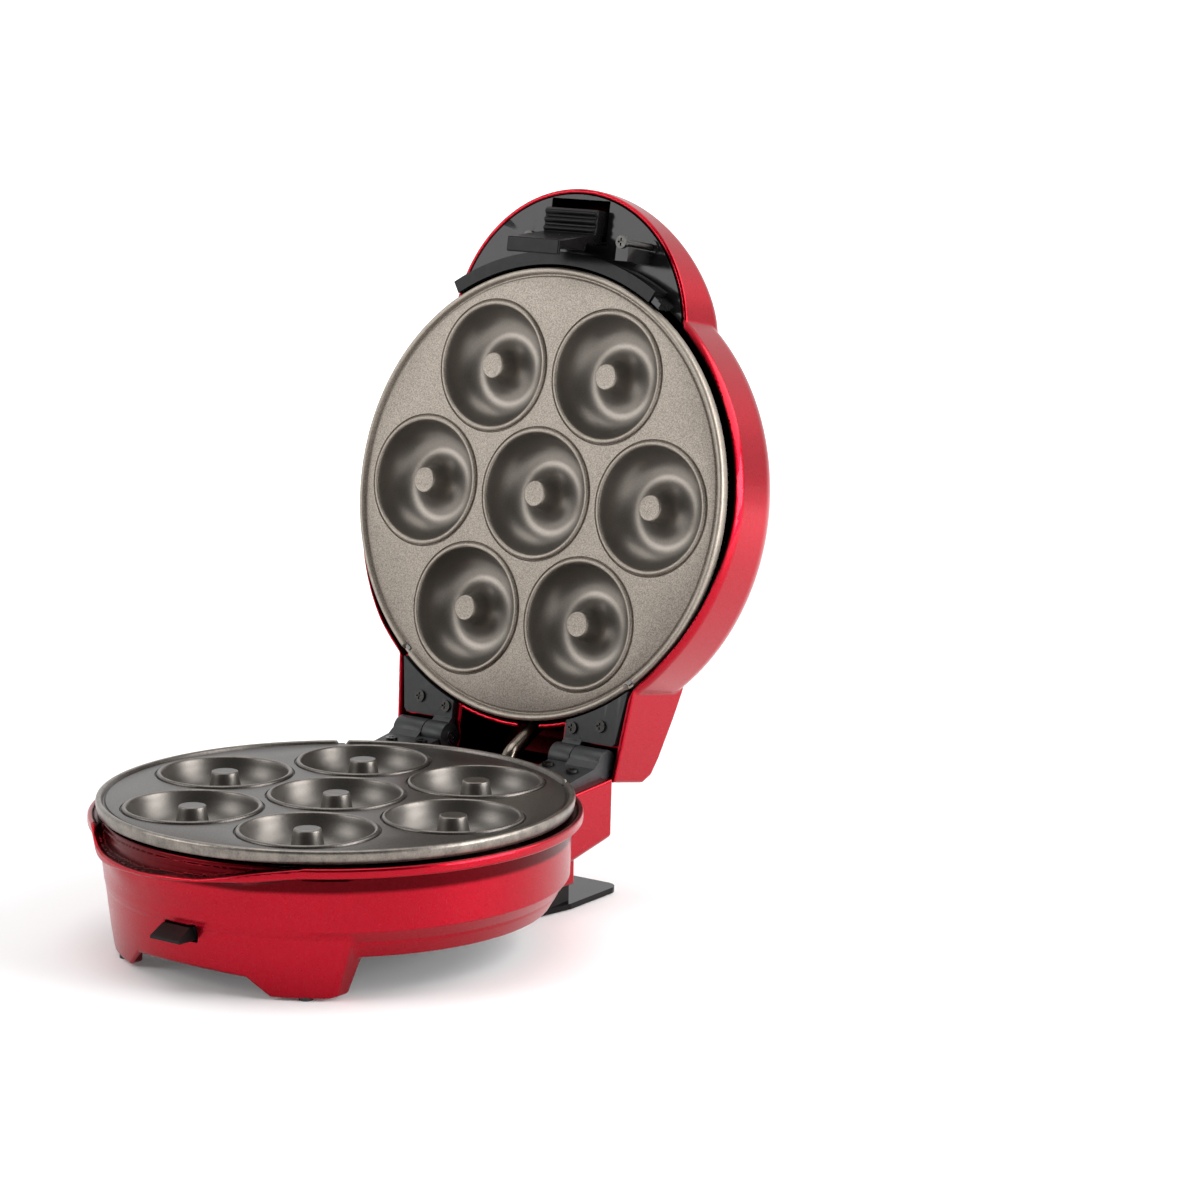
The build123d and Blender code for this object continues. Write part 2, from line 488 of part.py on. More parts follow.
def lid_shell():
    d0, b0, t0 = lid_solid(0)
    d1, b1, t1 = lid_solid(WALL_T)
    outer = d0 + b0
    # rim height: ramp from the front level up to the hinge side
    cutter = prism_yz([(-65, -3.0), (0, -10.0), (150, -10.0), (150, 10), (-150, 10), (-150, -3.0)], -120, 120)
    inner_round = cyl(101.2, -3.0, 3.0)
    outer = outer - cutter
    outer = outer + t0
    shell = outer - d1 - b1 - t1
    # raised inner lip round the plate
    lip_cut = prism_yz([(-65, -1.0), (0, -6.5), (150, -6.5), (150, 10), (-150, 10), (-150, -1.0)], -120, 120)
    lip = (cyl(102.6, -11.0, -1.0) - cyl(101.2, -12, 0)) - lip_cut
    lip = lip - prism_xy([(-70, 60), (70, 60), (70, 150), (-70, 150)], -20, 10) - prism_xy([(-70, -78), (70, -78), (70, -150), (-70, -150)], -20, 10)
    shell = shell + lip
    # hole for the plate in the tail's front, decks under the hinge leaves
    shell = shell - cyl(101.2, -20, 10)
    deck = prism_xy([(29.0, -80), (29.0, -104.8), (60.0, -104.8), (64.0, -79)], -5.4, -3.0) - cyl(101.2, -20, 10)
    wall = box(29.0, 31.4, -119.0, -86.0, -34.0, -3.0) - xcyl(KNUCKLE_R + 0.5, 20, 60, -HINGE_Y, GAP) - cyl(101.2, -20, 10)
    wall = wall - cyl(95.9, -40, 10)
    wall = wall & (t0)
    # strip of rim under the plate, between the hinges
    strip = (cyl(103.2, -5.4, -2.9) - cyl(101.2, -8, 2)) & box(-30, 30, -120, -60, -10, 5)
    shell = shell + (strip - box(CONDUIT_X - 5.5, CONDUIT_X + 5.5, -110, -90, -10, 5))
    for s in (1, -1):
        dk, wl = (deck, wall) if s == 1 else (mirror_x(deck), mirror_x(wall))
        shell = shell + dk + wl
        for (x, y) in ((35.5, -99.0), (50.5, -96.4)):
            shell = shell - cyl(1.45, -20, 5, s * x, y)
        shell = shell - Pos(s * 43.6, -HINGE_Y, GAP) * Rot(Y=90) * Cylinder(KNUCKLE_R + 0.5, 29.6)
    # pillars that carry the lid's reflector
    for a in REFL_A:
        bx, by = REFL_R * cos(radians(a)), REFL_R * sin(radians(a))
        pil = cyl(3.2, -39.5, -10.9, bx, by) + Rot(0, 0, a) * box(REFL_R + 2.0, 102.4, -1.2, 1.2, -36.0, -12.0)
        shell = shell + (pil & (d0)) - cyl(1.3, -20, -8, bx, by)
    # pillars that carry the handle liner
    for x, v in LINER_FIX:
        shell = shell + (cyl(3.4, -33.0, -12.2, x, v) & (b0 + d0))
        shell = shell - cyl(1.6, -24, -8, x, v)
    # lamp holes in the top face
    for x in (-9, 9):
        shell = shell - cyl(4.1, -60, -30, x, 56)
    return one(shell)


nodes["lid_shell"] = lid(lid_shell())

lrefl = reflector() - box(-11, 11, -100, -78, -26, -16) - box(-7, 7, 83, 100, -30, -5)
nodes["lid_heat_reflector"] = lid(one(Pos(0, 0, -1.0) * lrefl))
rs = []
for a in REFL_A:
    bx, by = REFL_R * cos(radians(a)), REFL_R * sin(radians(a))
    rs.append(cyl(2.4, -9.9, -8.4, bx, by) + cyl(1.25, -17.5, -9.9, bx, by))
nodes["lid_reflector_screws"] = group([lid(s) for s in rs])
nodes["lid_heating_element"] = lid(one(Rot(0, 0, 180) * Pos(0, 0, 0) * heater(-21.6)))
nodes["lid_element_clips"] = group([lid(Rot(0, 0, a) * box(41.0, 49.0, -3, 3, -27.9, -25.0)) for a in (30, 150, 270 + 180)])
nodes["lid_thermal_fuse"] = lid(one(Pos(0, 20, -31.4) * Rot(Y=90) * Cylinder(2.0, 26)))
nodes["lid_thermostat"] = lid(one(cyl(8.0, -36.4, -29.0, 0, -12)))

# lamps and lenses on the lid's top face
for nm, x in (("power", -9), ("ready", 9)):
    nodes["indicator_lens_" + nm] = lid(one(cyl(3.9, -44.6, -38.0, x, 56) + cyl(5.2, -38.4, -37.0, x, 56)))
nodes["indicator_lamps"] = group([lid(cyl(2.4, -36.9, -31.0, x, 56)) for x in (-9, 9)])

# ---------------------------------------------------- handle liner, guard, latch
bul = cyl(HANDLE_R - WALL_T - 0.15, LINER_W - 2.0, LINER_W, 0, HANDLE_V) - cyl(101.4, -20, 10)
liner = bul - prism_xy([(-120, 40), (120, 40), (120, 79), (-120, 79)], -20, 0)
liner = liner - box(-16.0, 16.0, 111.8, 131.2, -20, 0)
# post and the raised seat of the long screw
liner = liner + box(34.4, 40.9, 104.6, 110.6, LINER_W - 1.0, 7.0)
liner = liner + cyl(3.4, LINER_W - 1.0, LINER_W + 1.0, 41.0, 112.4) + cyl(3.4, LINER_W - 1.0, LINER_W, -26.0, 113.0)
for x, v in LINER_FIX:
    liner = liner - cyl(1.6, -20, 20, x, v)
for s in (-1, 1):
    liner = liner - cyl(1.5, -20, 20, s * 30, 99.6)
# pocket walls behind the opening
pocket = box(-18.0, 18.0, 110.2, 132.0, LINER_W - 8.0, LINER_W - 1.0) - box(-16.0, 16.0, 111.8, 131.2, -40, 0)
pocket = pocket & cyl(HANDLE_R - WALL_T - 0.6, -60, 0, 0, HANDLE_V)
liner = liner + pocket
nodes["handle_liner"] = lid(one(liner))

guard = cyl(GUARD_OUT, LINER_W, 0.0) - cyl(GUARD_IN, -20, 10)
guard = guard & prism_xy([(0, 0), (-200 * sin(radians(33)), 200 * cos(radians(33))), (0, 260), (200 * sin(radians(29.4)), 200 * cos(radians(29.4)))], -20, 10)
guard = guard - cyl(1.3, -30, -2, -30, 99.6) - cyl(1.3, -30, -2, 30, 99.6)
nodes["plate_guard"] = lid(one(guard))

latch = box(-14.4, 14.4, 115.6, 126.6, -16.0, -3.6)
for i in range(4):
    y = 117.0 + 2.75 * i
    latch = latch + box(-14.4, 14.4, y, y + 1.35, -4.0, -2.6)
hook = prism_yz([(111.2, -9.4), (115.9, -9.4), (115.9, -3.6), (111.2, 19.0), (110.8, 21.5), (104.2, 21.5), (104.2, 20.0), (107.6, 19.4), (107.9, 1.6), (111.2, 1.0)], -14.2, 14.2)
latch = latch + hook
latch = latch + box(-19.5, 19.5, 114.0, 126.0, -20.4, -18.3) + box(-12.5, 12.5, 116.0, 125.6, -18.4, -15.0)
nodes["lid_latch"] = lid(one(latch))
nodes["latch_detent_spring"] = lid(one(box(-10, 10, 113.0, 127.0, -21.4, -20.8)))

nodes["liner_screw"] = lid(one(cyl(2.8, 11.4, 13.2, 41.0, 112.4) + cyl(1.5, -20.0, 11.4, 41.0, 112.4) -
                              Pos(41.0, 112.4, 13.2) * (Box(3.4, 0.8, 1.6) + Box(0.8, 3.4, 1.6))))
nodes["liner_fixing_screw"] = lid(one(cyl(2.8, -10.0, -8.4, -26.0, 113.0) + cyl(1.5, -20.0, -10.0, -26.0, 113.0) -
                              Pos(-26.0, 113.0, -8.4) * (Box(3.4, 0.8, 1.6) + Box(0.8, 3.4, 1.6))))
nodes["guard_screws"] = group([lid(cyl(1.3, -12.0, -4.0, s * 30, 99.6) + cyl(2.6, -14.0, -12.0, s * 30, 99.6)) for s in (-1, 1)])

# upper plate catch at the guard's right end
catch = Rot(0, 0, 57.0) * (box(101.7, 104.6, 0.2, 5.6, -9.7, -0.6) + box(102.2, 104.6, 0.2, 2.4, -9.7, 0.6))
nodes["lid_plate_catch"] = lid(one(catch))

# rear locating posts of the lid plate
posts = []
for s in (-1, 1):
    q = Rot(0, 0, 180 - s * 39.2) * box(-1.3, 1.3, 97.0, 98.7, -7.0, -1.2)
    posts.append(q + Rot(0, 0, 180 - s * 39.2) * box(-4.0, 4.0, 96.6, 100.8, -8.4, -6.7))
nodes["lid_plate_locators"] = group([lid(p) for p in posts])

# ------------------------------------------------------------- wiring conduit
with BuildPart() as cp:
    with BuildLine(Plane(origin=(CONDUIT_X, 0, 0), x_dir=(0, 1, 0), z_dir=(1, 0, 0))) as cl:
        FilletPolyline((103.6, -18.0), (103.6, -2.0), (117.5, 4.6), (134.8, 13.2), radius=(9.5, 30))
    w = cl.wires()[0]
    with BuildSketch(Plane(origin=w @ 0, z_dir=w % 0)):
        Circle(CONDUIT_R)
    sweep(path=w)
nodes["wiring_conduit"] = one(cp.part)
print("conduit length", w.length, "volume", nodes["wiring_conduit"].volume, "ideal", pi * CONDUIT_R ** 2 * w.length)
# sleeve that lines the conduit's hole in the deck
nodes["conduit_grommet"] = one(cyl(4.08, -9.6, -5.9, CONDUIT_X, 103.6) - cyl(CONDUIT_R + 0.08, -30, 10, CONDUIT_X, 103.6))

# ------------------------------------------------------------------ placing
everything = Compound([s for n in nodes.values() for s in n.solids()])
bb = everything.bounding_box()
SHIFT = (-(bb.min.X + bb.max.X) / 2, -(bb.min.Y + bb.max.Y) / 2, -bb.min.Z)
print("box before", bb.min, bb.max, "shift", SHIFT)
print("hinge", (SHIFT[0], HINGE_Y + SHIFT[1], SHIFT[2]), "lid centre", (0, LC_Y + SHIFT[1], LC_Z + SHIFT[2]))

os.makedirs("parts", exist_ok=True)
for name, shape in nodes.items():
    export_step(Pos(*SHIFT) * shape, "parts/" + name + ".step")
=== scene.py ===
import bpy
import json
import math
import numpy as np
from mathutils import Vector, Matrix
from mathutils.geometry import delaunay_2d_cdt


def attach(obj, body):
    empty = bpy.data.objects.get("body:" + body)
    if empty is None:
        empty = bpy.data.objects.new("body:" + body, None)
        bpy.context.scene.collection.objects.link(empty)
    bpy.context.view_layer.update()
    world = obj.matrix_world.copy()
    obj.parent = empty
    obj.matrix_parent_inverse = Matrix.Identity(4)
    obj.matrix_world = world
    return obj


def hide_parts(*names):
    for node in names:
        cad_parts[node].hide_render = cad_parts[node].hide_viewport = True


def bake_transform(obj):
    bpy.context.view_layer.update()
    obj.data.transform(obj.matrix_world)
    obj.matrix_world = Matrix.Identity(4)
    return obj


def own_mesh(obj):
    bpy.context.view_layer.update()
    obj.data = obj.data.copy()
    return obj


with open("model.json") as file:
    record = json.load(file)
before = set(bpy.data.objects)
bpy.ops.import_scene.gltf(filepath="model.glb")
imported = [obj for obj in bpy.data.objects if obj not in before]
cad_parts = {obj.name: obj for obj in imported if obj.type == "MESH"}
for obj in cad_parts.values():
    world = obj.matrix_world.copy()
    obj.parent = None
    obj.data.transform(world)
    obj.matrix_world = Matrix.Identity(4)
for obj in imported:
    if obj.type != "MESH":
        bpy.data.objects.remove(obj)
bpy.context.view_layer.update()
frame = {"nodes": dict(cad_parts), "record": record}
N = frame["nodes"]

# ------------------------------------------------------------------ frames
# Shapes are written in millimetres in two working frames, as the CAD is:
#   base frame  z = 0 at the lower plate's rim, x = y = 0 on its axis, hinge at +Y
#   lid frame   x across, v towards the handle, w out of the cooking face
HINGE_Y = 112.1
TH = math.radians(10.227)
SHIFT = np.array([0.0, -42.7748, 63.2])
ST, CT = math.sin(TH), math.cos(TH)
LC = np.array([0.0, HINGE_Y + HINGE_Y * ST + 2.0 * CT, HINGE_Y * CT - 2.0 * ST])
BASE_M = np.eye(3)
LID_M = np.array([[1, 0, 0], [0, ST, -CT], [0, CT, ST]], float)   # columns: u, v, w


def place(co, where):
    """working frame, mm -> row frame, m"""
    if where == "lid":
        co = co @ LID_M.T + LC
    return (co + SHIFT) * 0.001


def turn(nv, where):
    return nv @ LID_M.T if where == "lid" else nv


# ------------------------------------------------------------------ mesh helpers
def new_object(name, verts, faces, body, normals=None, material=None, replaces=(), smooth=None, marks=None):
    me = bpy.data.meshes.new(name)
    me.from_pydata([tuple(map(float, v)) for v in verts], [], [tuple(int(i) for i in f) for f in faces])
    me.validate()
    me.update()
    me.shade_smooth()
    if normals is not None:
        me.normals_split_custom_set_from_vertices([tuple(map(float, n)) for n in normals])
    for key, val in (marks or {}).items():
        me.attributes.new(key, "FLOAT", "POINT").data.foreach_set("value", np.asarray(val, np.float32))
    ob = bpy.data.objects.new(name, me)
    bpy.context.scene.collection.objects.link(ob)
    if smooth is not None:
        sharpen(me, smooth)
    if material:
        me.materials.append(material)
    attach(ob, body)
    if replaces:
        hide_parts(*replaces)
    return ob


def sharpen(me, degrees_):
    me.set_sharp_from_angle(angle=math.radians(degrees_))


# ------------------------------------------------------------------ distance fields
def hyp(a, b):
    return np.sqrt(a * a + b * b)


def rmax(a, b, r):
    """intersection with a rounded edge"""
    return np.minimum(np.maximum(a, b), -r) + hyp(np.maximum(a + r, 0), np.maximum(b + r, 0))


def rmin(a, b, r):
    """union with a filleted corner"""
    return np.maximum(np.minimum(a, b), r) - hyp(np.maximum(r - a, 0), np.maximum(r - b, 0))


def poly(px, py, pts):
    """signed distance to a closed polygon"""
    d = np.full(px.shape, 1e9, px.dtype)
    inside = np.zeros(px.shape, bool)
    n = len(pts)
    for i in range(n):
        ax, ay = pts[i]
        bx, by = pts[(i + 1) % n]
        ex, ey = bx - ax, by - ay
        wx, wy = px - ax, py - ay
        t = np.clip((wx * ex + wy * ey) / (ex * ex + ey * ey), 0, 1)
        d = np.minimum(d, (wx - t * ex) ** 2 + (wy - t * ey) ** 2)
        c = (ay > py) != (by > py)
        if by != ay:
            inside ^= c & (px < (bx - ax) * (py - ay) / (by - ay) + ax)
    d = np.sqrt(d)
    return np.where(inside, -d, d)


def boxd(x, y, z, x0, x1, y0, y1, z0, z1, r=0.0):
    qx = np.abs(x - (x0 + x1) / 2) - (x1 - x0) / 2 + r
    qy = np.abs(y - (y0 + y1) / 2) - (y1 - y0) / 2 + r
    qz = np.abs(z - (z0 + z1) / 2) - (z1 - z0) / 2 + r
    out = np.sqrt(np.maximum(qx, 0) ** 2 + np.maximum(qy, 0) ** 2 + np.maximum(qz, 0) ** 2)
    return out + np.minimum(np.maximum(qx, np.maximum(qy, qz)), 0) - r


def tubed(a, b, t, r, h0, h1, rr=0.0):
    """cylinder of radius r about the axis along t at (a, b) offsets, from h0 to h1"""
    return rmax(hyp(a, b) - r, np.abs(t - (h0 + h1) / 2) - (h1 - h0) / 2, rr) if rr else np.maximum(
        hyp(a, b) - r, np.abs(t - (h0 + h1) / 2) - (h1 - h0) / 2)


def step01(x, a, b):
    t = np.clip((x - a) / (b - a), 0, 1)
    return t * t * (3 - 2 * t)


def field_mesh(f, lo, hi, h, steps=3):
    """Surface of f = 0 as quads, with vertices moved onto it and normals from its gradient."""
    lo, hi = np.array(lo, float), np.array(hi, float)
    B = 8
    nb = np.maximum(1, np.ceil((hi - lo) / (h * B)).astype(int))
    n = nb * B + 1
    ax = [(lo[i] + h * np.arange(n[i])).astype(np.float32) for i in range(3)]
    cent = [lo[i] + h * B * (np.arange(nb[i]) + 0.5) for i in range(3)]
    CX, CY, CZ = np.meshgrid(*cent, indexing="ij")
    dc = f(CX.ravel().astype(np.float32), CY.ravel().astype(np.float32), CZ.ravel().astype(np.float32)).reshape(nb)
    keep = np.argwhere(np.abs(dc) < h * B * 0.87 * 1.45)
    grid = np.empty(tuple(n), np.float32)
    s = np.where(dc < 0, -1.0, 1.0).astype(np.float32)
    grid[:-1, :-1, :-1] = np.repeat(np.repeat(np.repeat(s, B, 0), B, 1), B, 2)
    grid[-1], grid[:, -1], grid[:, :, -1] = 1.0, 1.0, 1.0
    o = np.arange(B + 1)
    for part in np.array_split(keep, max(1, len(keep) // 1500 + 1)):
        if not len(part):
            continue
        ix = part[:, 0][:, None] * B + o
        iy = part[:, 1][:, None] * B + o
        iz = part[:, 2][:, None] * B + o
        X = np.broadcast_to(ax[0][ix][:, :, None, None], (len(part), B + 1, B + 1, B + 1)).ravel()
        Y = np.broadcast_to(ax[1][iy][:, None, :, None], (len(part), B + 1, B + 1, B + 1)).ravel()
        Z = np.broadcast_to(ax[2][iz][:, None, None, :], (len(part), B + 1, B + 1, B + 1)).ravel()
        v = f(X, Y, Z).reshape(len(part), B + 1, B + 1, B + 1)
        grid[ix[:, :, None, None], iy[:, None, :, None], iz[:, None, None, :]] = v
    neg = grid < 0
    cnt = np.zeros(tuple(n - 1), np.int8)
    for a in (0, 1):
        for b in (0, 1):
            for c in (0, 1):
                cnt += neg[a:n[0] - 1 + a, b:n[1] - 1 + b, c:n[2] - 1 + c]
    act = (cnt > 0) & (cnt < 8)
    ci = np.argwhere(act)
    idx = np.full(tuple(n - 1), -1, np.int64)
    idx[act] = np.arange(len(ci))
    i, j, k = ci[:, 0], ci[:, 1], ci[:, 2]
    corners = [(a, b, c) for a in (0, 1) for b in (0, 1) for c in (0, 1)]
    val = {c: grid[i + c[0], j + c[1], k + c[2]].astype(float) for c in corners}
    acc, m = np.zeros((len(ci), 3)), np.zeros(len(ci))
    for p in corners:
        for d in range(3):
            if p[d] == 0:
                q = list(p)
                q[d] = 1
                q = tuple(q)
                va, vb = val[p], val[q]
                cross = (va < 0) != (vb < 0)
                t = np.where(cross, va / np.where(va == vb, 1, va - vb), 0)
                pos = np.zeros((len(ci), 3))
                for e in range(3):
                    pos[:, e] = p[e]
                pos[:, d] += t
                acc += np.where(cross[:, None], pos, 0)
                m += cross
    verts = lo + h * (ci + acc / m[:, None])
    faces = []
    for d in range(3):
        e1, e2 = [(1, 2), (2, 0), (0, 1)][d]
        a = [slice(None)] * 3
        b = [slice(None)] * 3
        a[d], b[d] = slice(0, -1), slice(1, None)
        na, nb_ = neg[tuple(a)], neg[tuple(b)]
        ed = np.argwhere(na != nb_)
        ed = ed[(ed[:, e1] > 0) & (ed[:, e2] > 0) & (ed[:, e1] < n[e1] - 1) & (ed[:, e2] < n[e2] - 1)]
        inside_first = na[ed[:, 0], ed[:, 1], ed[:, 2]]
        quad = []
        for (p, q) in ((0, 0), (1, 0), (1, 1), (0, 1)):
            c = ed.copy()
            c[:, e1] -= p
            c[:, e2] -= q
            quad.append(idx[c[:, 0], c[:, 1], c[:, 2]])
        quad = np.stack(quad, 1)
        quad[~inside_first] = quad[~inside_first][:, ::-1]
        faces.append(quad)
    faces = np.concatenate(faces)
    faces = faces[(faces >= 0).all(1)]

    def grad(v):
        g = np.zeros_like(v)
        e = 0.02
        for d in range(3):
            s1 = v.copy()
            s1[:, d] += e
            s2 = v.copy()
            s2[:, d] -= e
            g[:, d] = (f(s1[:, 0], s1[:, 1], s1[:, 2]) - f(s2[:, 0], s2[:, 1], s2[:, 2])) / (2 * e)
        return g
    for _ in range(steps):
        g = grad(verts)
        l2 = np.maximum((g * g).sum(1), 0.05)
        move = -(f(verts[:, 0], verts[:, 1], verts[:, 2]) / l2)[:, None] * g
        ln = np.linalg.norm(move, axis=1)
        move *= np.minimum(1, 0.7 * h / np.maximum(ln, 1e-9))[:, None]
        verts = verts + move
    g = grad(verts)
    nrm = g / np.maximum(np.linalg.norm(g, axis=1), 1e-9)[:, None]
    return verts, faces, nrm


def field_object(name, f, lo, hi, h, where, body, material, replaces=(), steps=3, inner_shade=None):
    v, q, nv = field_mesh(f, lo, hi, h, steps)
    marks = {"inner_shade": inner_shade(v[:, 0], v[:, 1], v[:, 2])} if inner_shade else None
    return new_object(name, place(v, where), q, body, turn(nv, where), material, replaces, marks=marks)


def lathe_mesh(profile, n, closed=False, cx=0.0, cy=0.0):
    """Revolve (r, z) points, top side outwards when the profile runs from the axis out and down."""
    pr = np.array(profile, float)
    a = np.linspace(0, 2 * math.pi, n, endpoint=False)
    v = np.zeros((len(pr), n, 3))
    v[:, :, 0] = cx + pr[:, 0:1] * np.cos(a)
    v[:, :, 1] = cy + pr[:, 0:1] * np.sin(a)
    v[:, :, 2] = pr[:, 1:2]
    i = np.arange(len(pr) - (0 if closed else 1))
    i2 = (i + 1) % len(pr)
    j = np.arange(n)
    j2 = (j + 1) % n
    f = np.stack([(i[:, None] * n + j).ravel(), (i2[:, None] * n + j).ravel(),
                  (i2[:, None] * n + j2).ravel(), (i[:, None] * n + j2).ravel()], 1)
    return v.reshape(-1, 3), f


def join(parts):
    vs, fs, o = [], [], 0
    for v, f in parts:
        vs.append(np.asarray(v, float))
        fs += [tuple(int(i) + o for i in q) for q in f]
        o += len(v)
    return np.concatenate(vs), fs


def weld(v, f, eps=0.004):
    key = np.round(v / eps).astype(np.int64)
    _, first, inv = np.unique(key, axis=0, return_index=True, return_inverse=True)
    inv = inv.ravel()
    out, seen = [], set()
    for q in f:
        p = []
        for i in q:
            k = int(inv[i])
            if not p or p[-1] != k:
                p.append(k)
        if len(p) > 1 and p[0] == p[-1]:
            p.pop()
        if len(p) >= 3 and len(set(p)) == len(p):
            out.append(tuple(p))
    return v[first], out


def arc(cx, cz, r, a0, a1, n):
    return [(cx + r * math.cos(math.radians(a0 + (a1 - a0) * i / n)), cz + r * math.sin(math.radians(a0 + (a1 - a0) * i / n)))
            for i in range(n + 1)]


def spline_pts(pts, n):
    """Centripetal Catmull-Rom through the points."""
    p = np.array(pts, float)
    p = np.vstack([2 * p[0] - p[1], p, 2 * p[-1] - p[-2]])
    out = []
    for i in range(1, len(p) - 2):
        p0, p1, p2, p3 = p[i - 1:i + 3]
        t0 = 0.0
        t1 = t0 + max(np.linalg.norm(p1 - p0), 1e-6) ** 0.5
        t2 = t1 + max(np.linalg.norm(p2 - p1), 1e-6) ** 0.5
        t3 = t2 + max(np.linalg.norm(p3 - p2), 1e-6) ** 0.5
        for t in np.linspace(t1, t2, n, endpoint=False):
            a1 = (t1 - t) / (t1 - t0) * p0 + (t - t0) / (t1 - t0) * p1
            a2 = (t2 - t) / (t2 - t1) * p1 + (t - t1) / (t2 - t1) * p2
            a3 = (t3 - t) / (t3 - t2) * p2 + (t - t2) / (t3 - t2) * p3
            b1 = (t2 - t) / (t2 - t0) * a1 + (t - t0) / (t2 - t0) * a2
            b2 = (t3 - t) / (t3 - t1) * a2 + (t - t1) / (t3 - t1) * a3
            out.append((t2 - t) / (t2 - t1) * b1 + (t - t1) / (t2 - t1) * b2)
    out.append(p[-2])
    return [tuple(q) for q in out]


# ------------------------------------------------------------------ materials
class Mat:
    """A node material built step by step, with object-space noise in metres."""

    def __init__(self, name, **sockets):
        self.m = bpy.data.materials.new(name)
        self.m.use_nodes = True
        self.t = self.m.node_tree
        self.p = self.t.nodes["Principled BSDF"]
        self.coord = self.t.nodes.new("ShaderNodeTexCoord")
        self.set(**sockets)
        self.height = None

    def set(self, **sockets):
        for k, v in sockets.items():
            self.p.inputs[k.replace("_", " ")].default_value = v

    def node(self, kind, **inputs):
        n = self.t.nodes.new("ShaderNode" + kind)
        for k, v in inputs.items():
            n.inputs[k.replace("_", " ")].default_value = v
        return n

    def link(self, a, b):
        self.t.links.new(a, b)

    def noise(self, scale, detail=3.0, rough=0.55, stretch=(1, 1, 1)):
        n = self.node("TexNoise", Scale=scale, Detail=detail, Roughness=rough)
        if stretch != (1, 1, 1):
            mp = self.node("Mapping")
            mp.inputs["Scale"].default_value = stretch
            self.link(self.coord.outputs["Object"], mp.inputs["Vector"])
            self.link(mp.outputs["Vector"], n.inputs["Vector"])
        else:
            self.link(self.coord.outputs["Object"], n.inputs["Vector"])
        return n.outputs["Fac"]

    def ramp(self, fac, stops):
        r = self.t.nodes.new("ShaderNodeValToRGB")
        e = r.color_ramp.elements
        while len(e) < len(stops):
            e.new(0.5)
        for i, (p, c) in enumerate(stops):
            e[i].position = p
            e[i].color = (*c, 1.0) if len(c) == 3 else c
        self.link(fac, r.inputs["Fac"])
        return r.outputs["Color"]

    def color(self, fac, stops):
        self.link(self.ramp(fac, stops), self.p.inputs["Base Color"])
        return self

    def rough(self, fac, lo, hi, f0=0.3, f1=0.7):
        n = self.node("MapRange")
        n.inputs["From Min"].default_value = f0
        n.inputs["From Max"].default_value = f1
        n.inputs["To Min"].default_value = lo
        n.inputs["To Max"].default_value = hi
        self.link(fac, n.inputs["Value"])
        self.link(n.outputs["Result"], self.p.inputs["Roughness"])
        return self

    def bump(self, fac, distance, strength=1.0, coat=False):
        b = self.node("Bump", Strength=strength, Distance=distance)
        self.link(fac, b.inputs["Height"])
        if self.height is not None:
            self.link(self.height, b.inputs["Normal"])
        self.height = b.outputs["Normal"]
        self.link(self.height, self.p.inputs["Normal"])
        if coat:
            self.link(self.height, self.p.inputs["Coat Normal"])
        return self


def red_lacquer(name, deep, bright, rough=(0.27, 0.33)):
    """Metallic red paint under a clear coat; the moulding's inside faces get a painted shade: near-black red
    without the coat.
    """
    m = Mat(name, Metallic=1.0, Coat_Roughness=0.035, Coat_IOR=1.5)
    flake = m.ramp(m.noise(2600.0, 2.0, 0.7), [(0.30, deep), (0.72, bright)])
    # painted shade: near-black red for the inside faces and the trough behind the front lip, where little light
    # reaches
    inner_shade_colour = m.ramp(m.noise(500.0, 3.0, 0.6), [(0.3, (0.020, 0.0012, 0.0016)), (0.7, (0.034, 0.0020, 0.0026))])
    at = m.t.nodes.new("ShaderNodeAttribute")
    at.attribute_name = "inner_shade"
    mix = m.t.nodes.new("ShaderNodeMix")
    mix.data_type = "RGBA"
    m.link(at.outputs["Fac"], mix.inputs[0])
    m.link(flake, mix.inputs[6])
    m.link(inner_shade_colour, mix.inputs[7])
    m.link(mix.outputs[2], m.p.inputs["Base Color"])
    c = m.node("MapRange")
    c.inputs["To Min"].default_value = COAT
    c.inputs["To Max"].default_value = 0.0
    m.link(at.outputs["Fac"], c.inputs["Value"])
    m.link(c.outputs["Result"], m.p.inputs["Coat Weight"])
    m.rough(m.noise(900.0, 2.0), *rough)
    m.bump(m.noise(2200.0, 1.0), 0.000010, 0.4)
    return m.m


COAT = 0.21


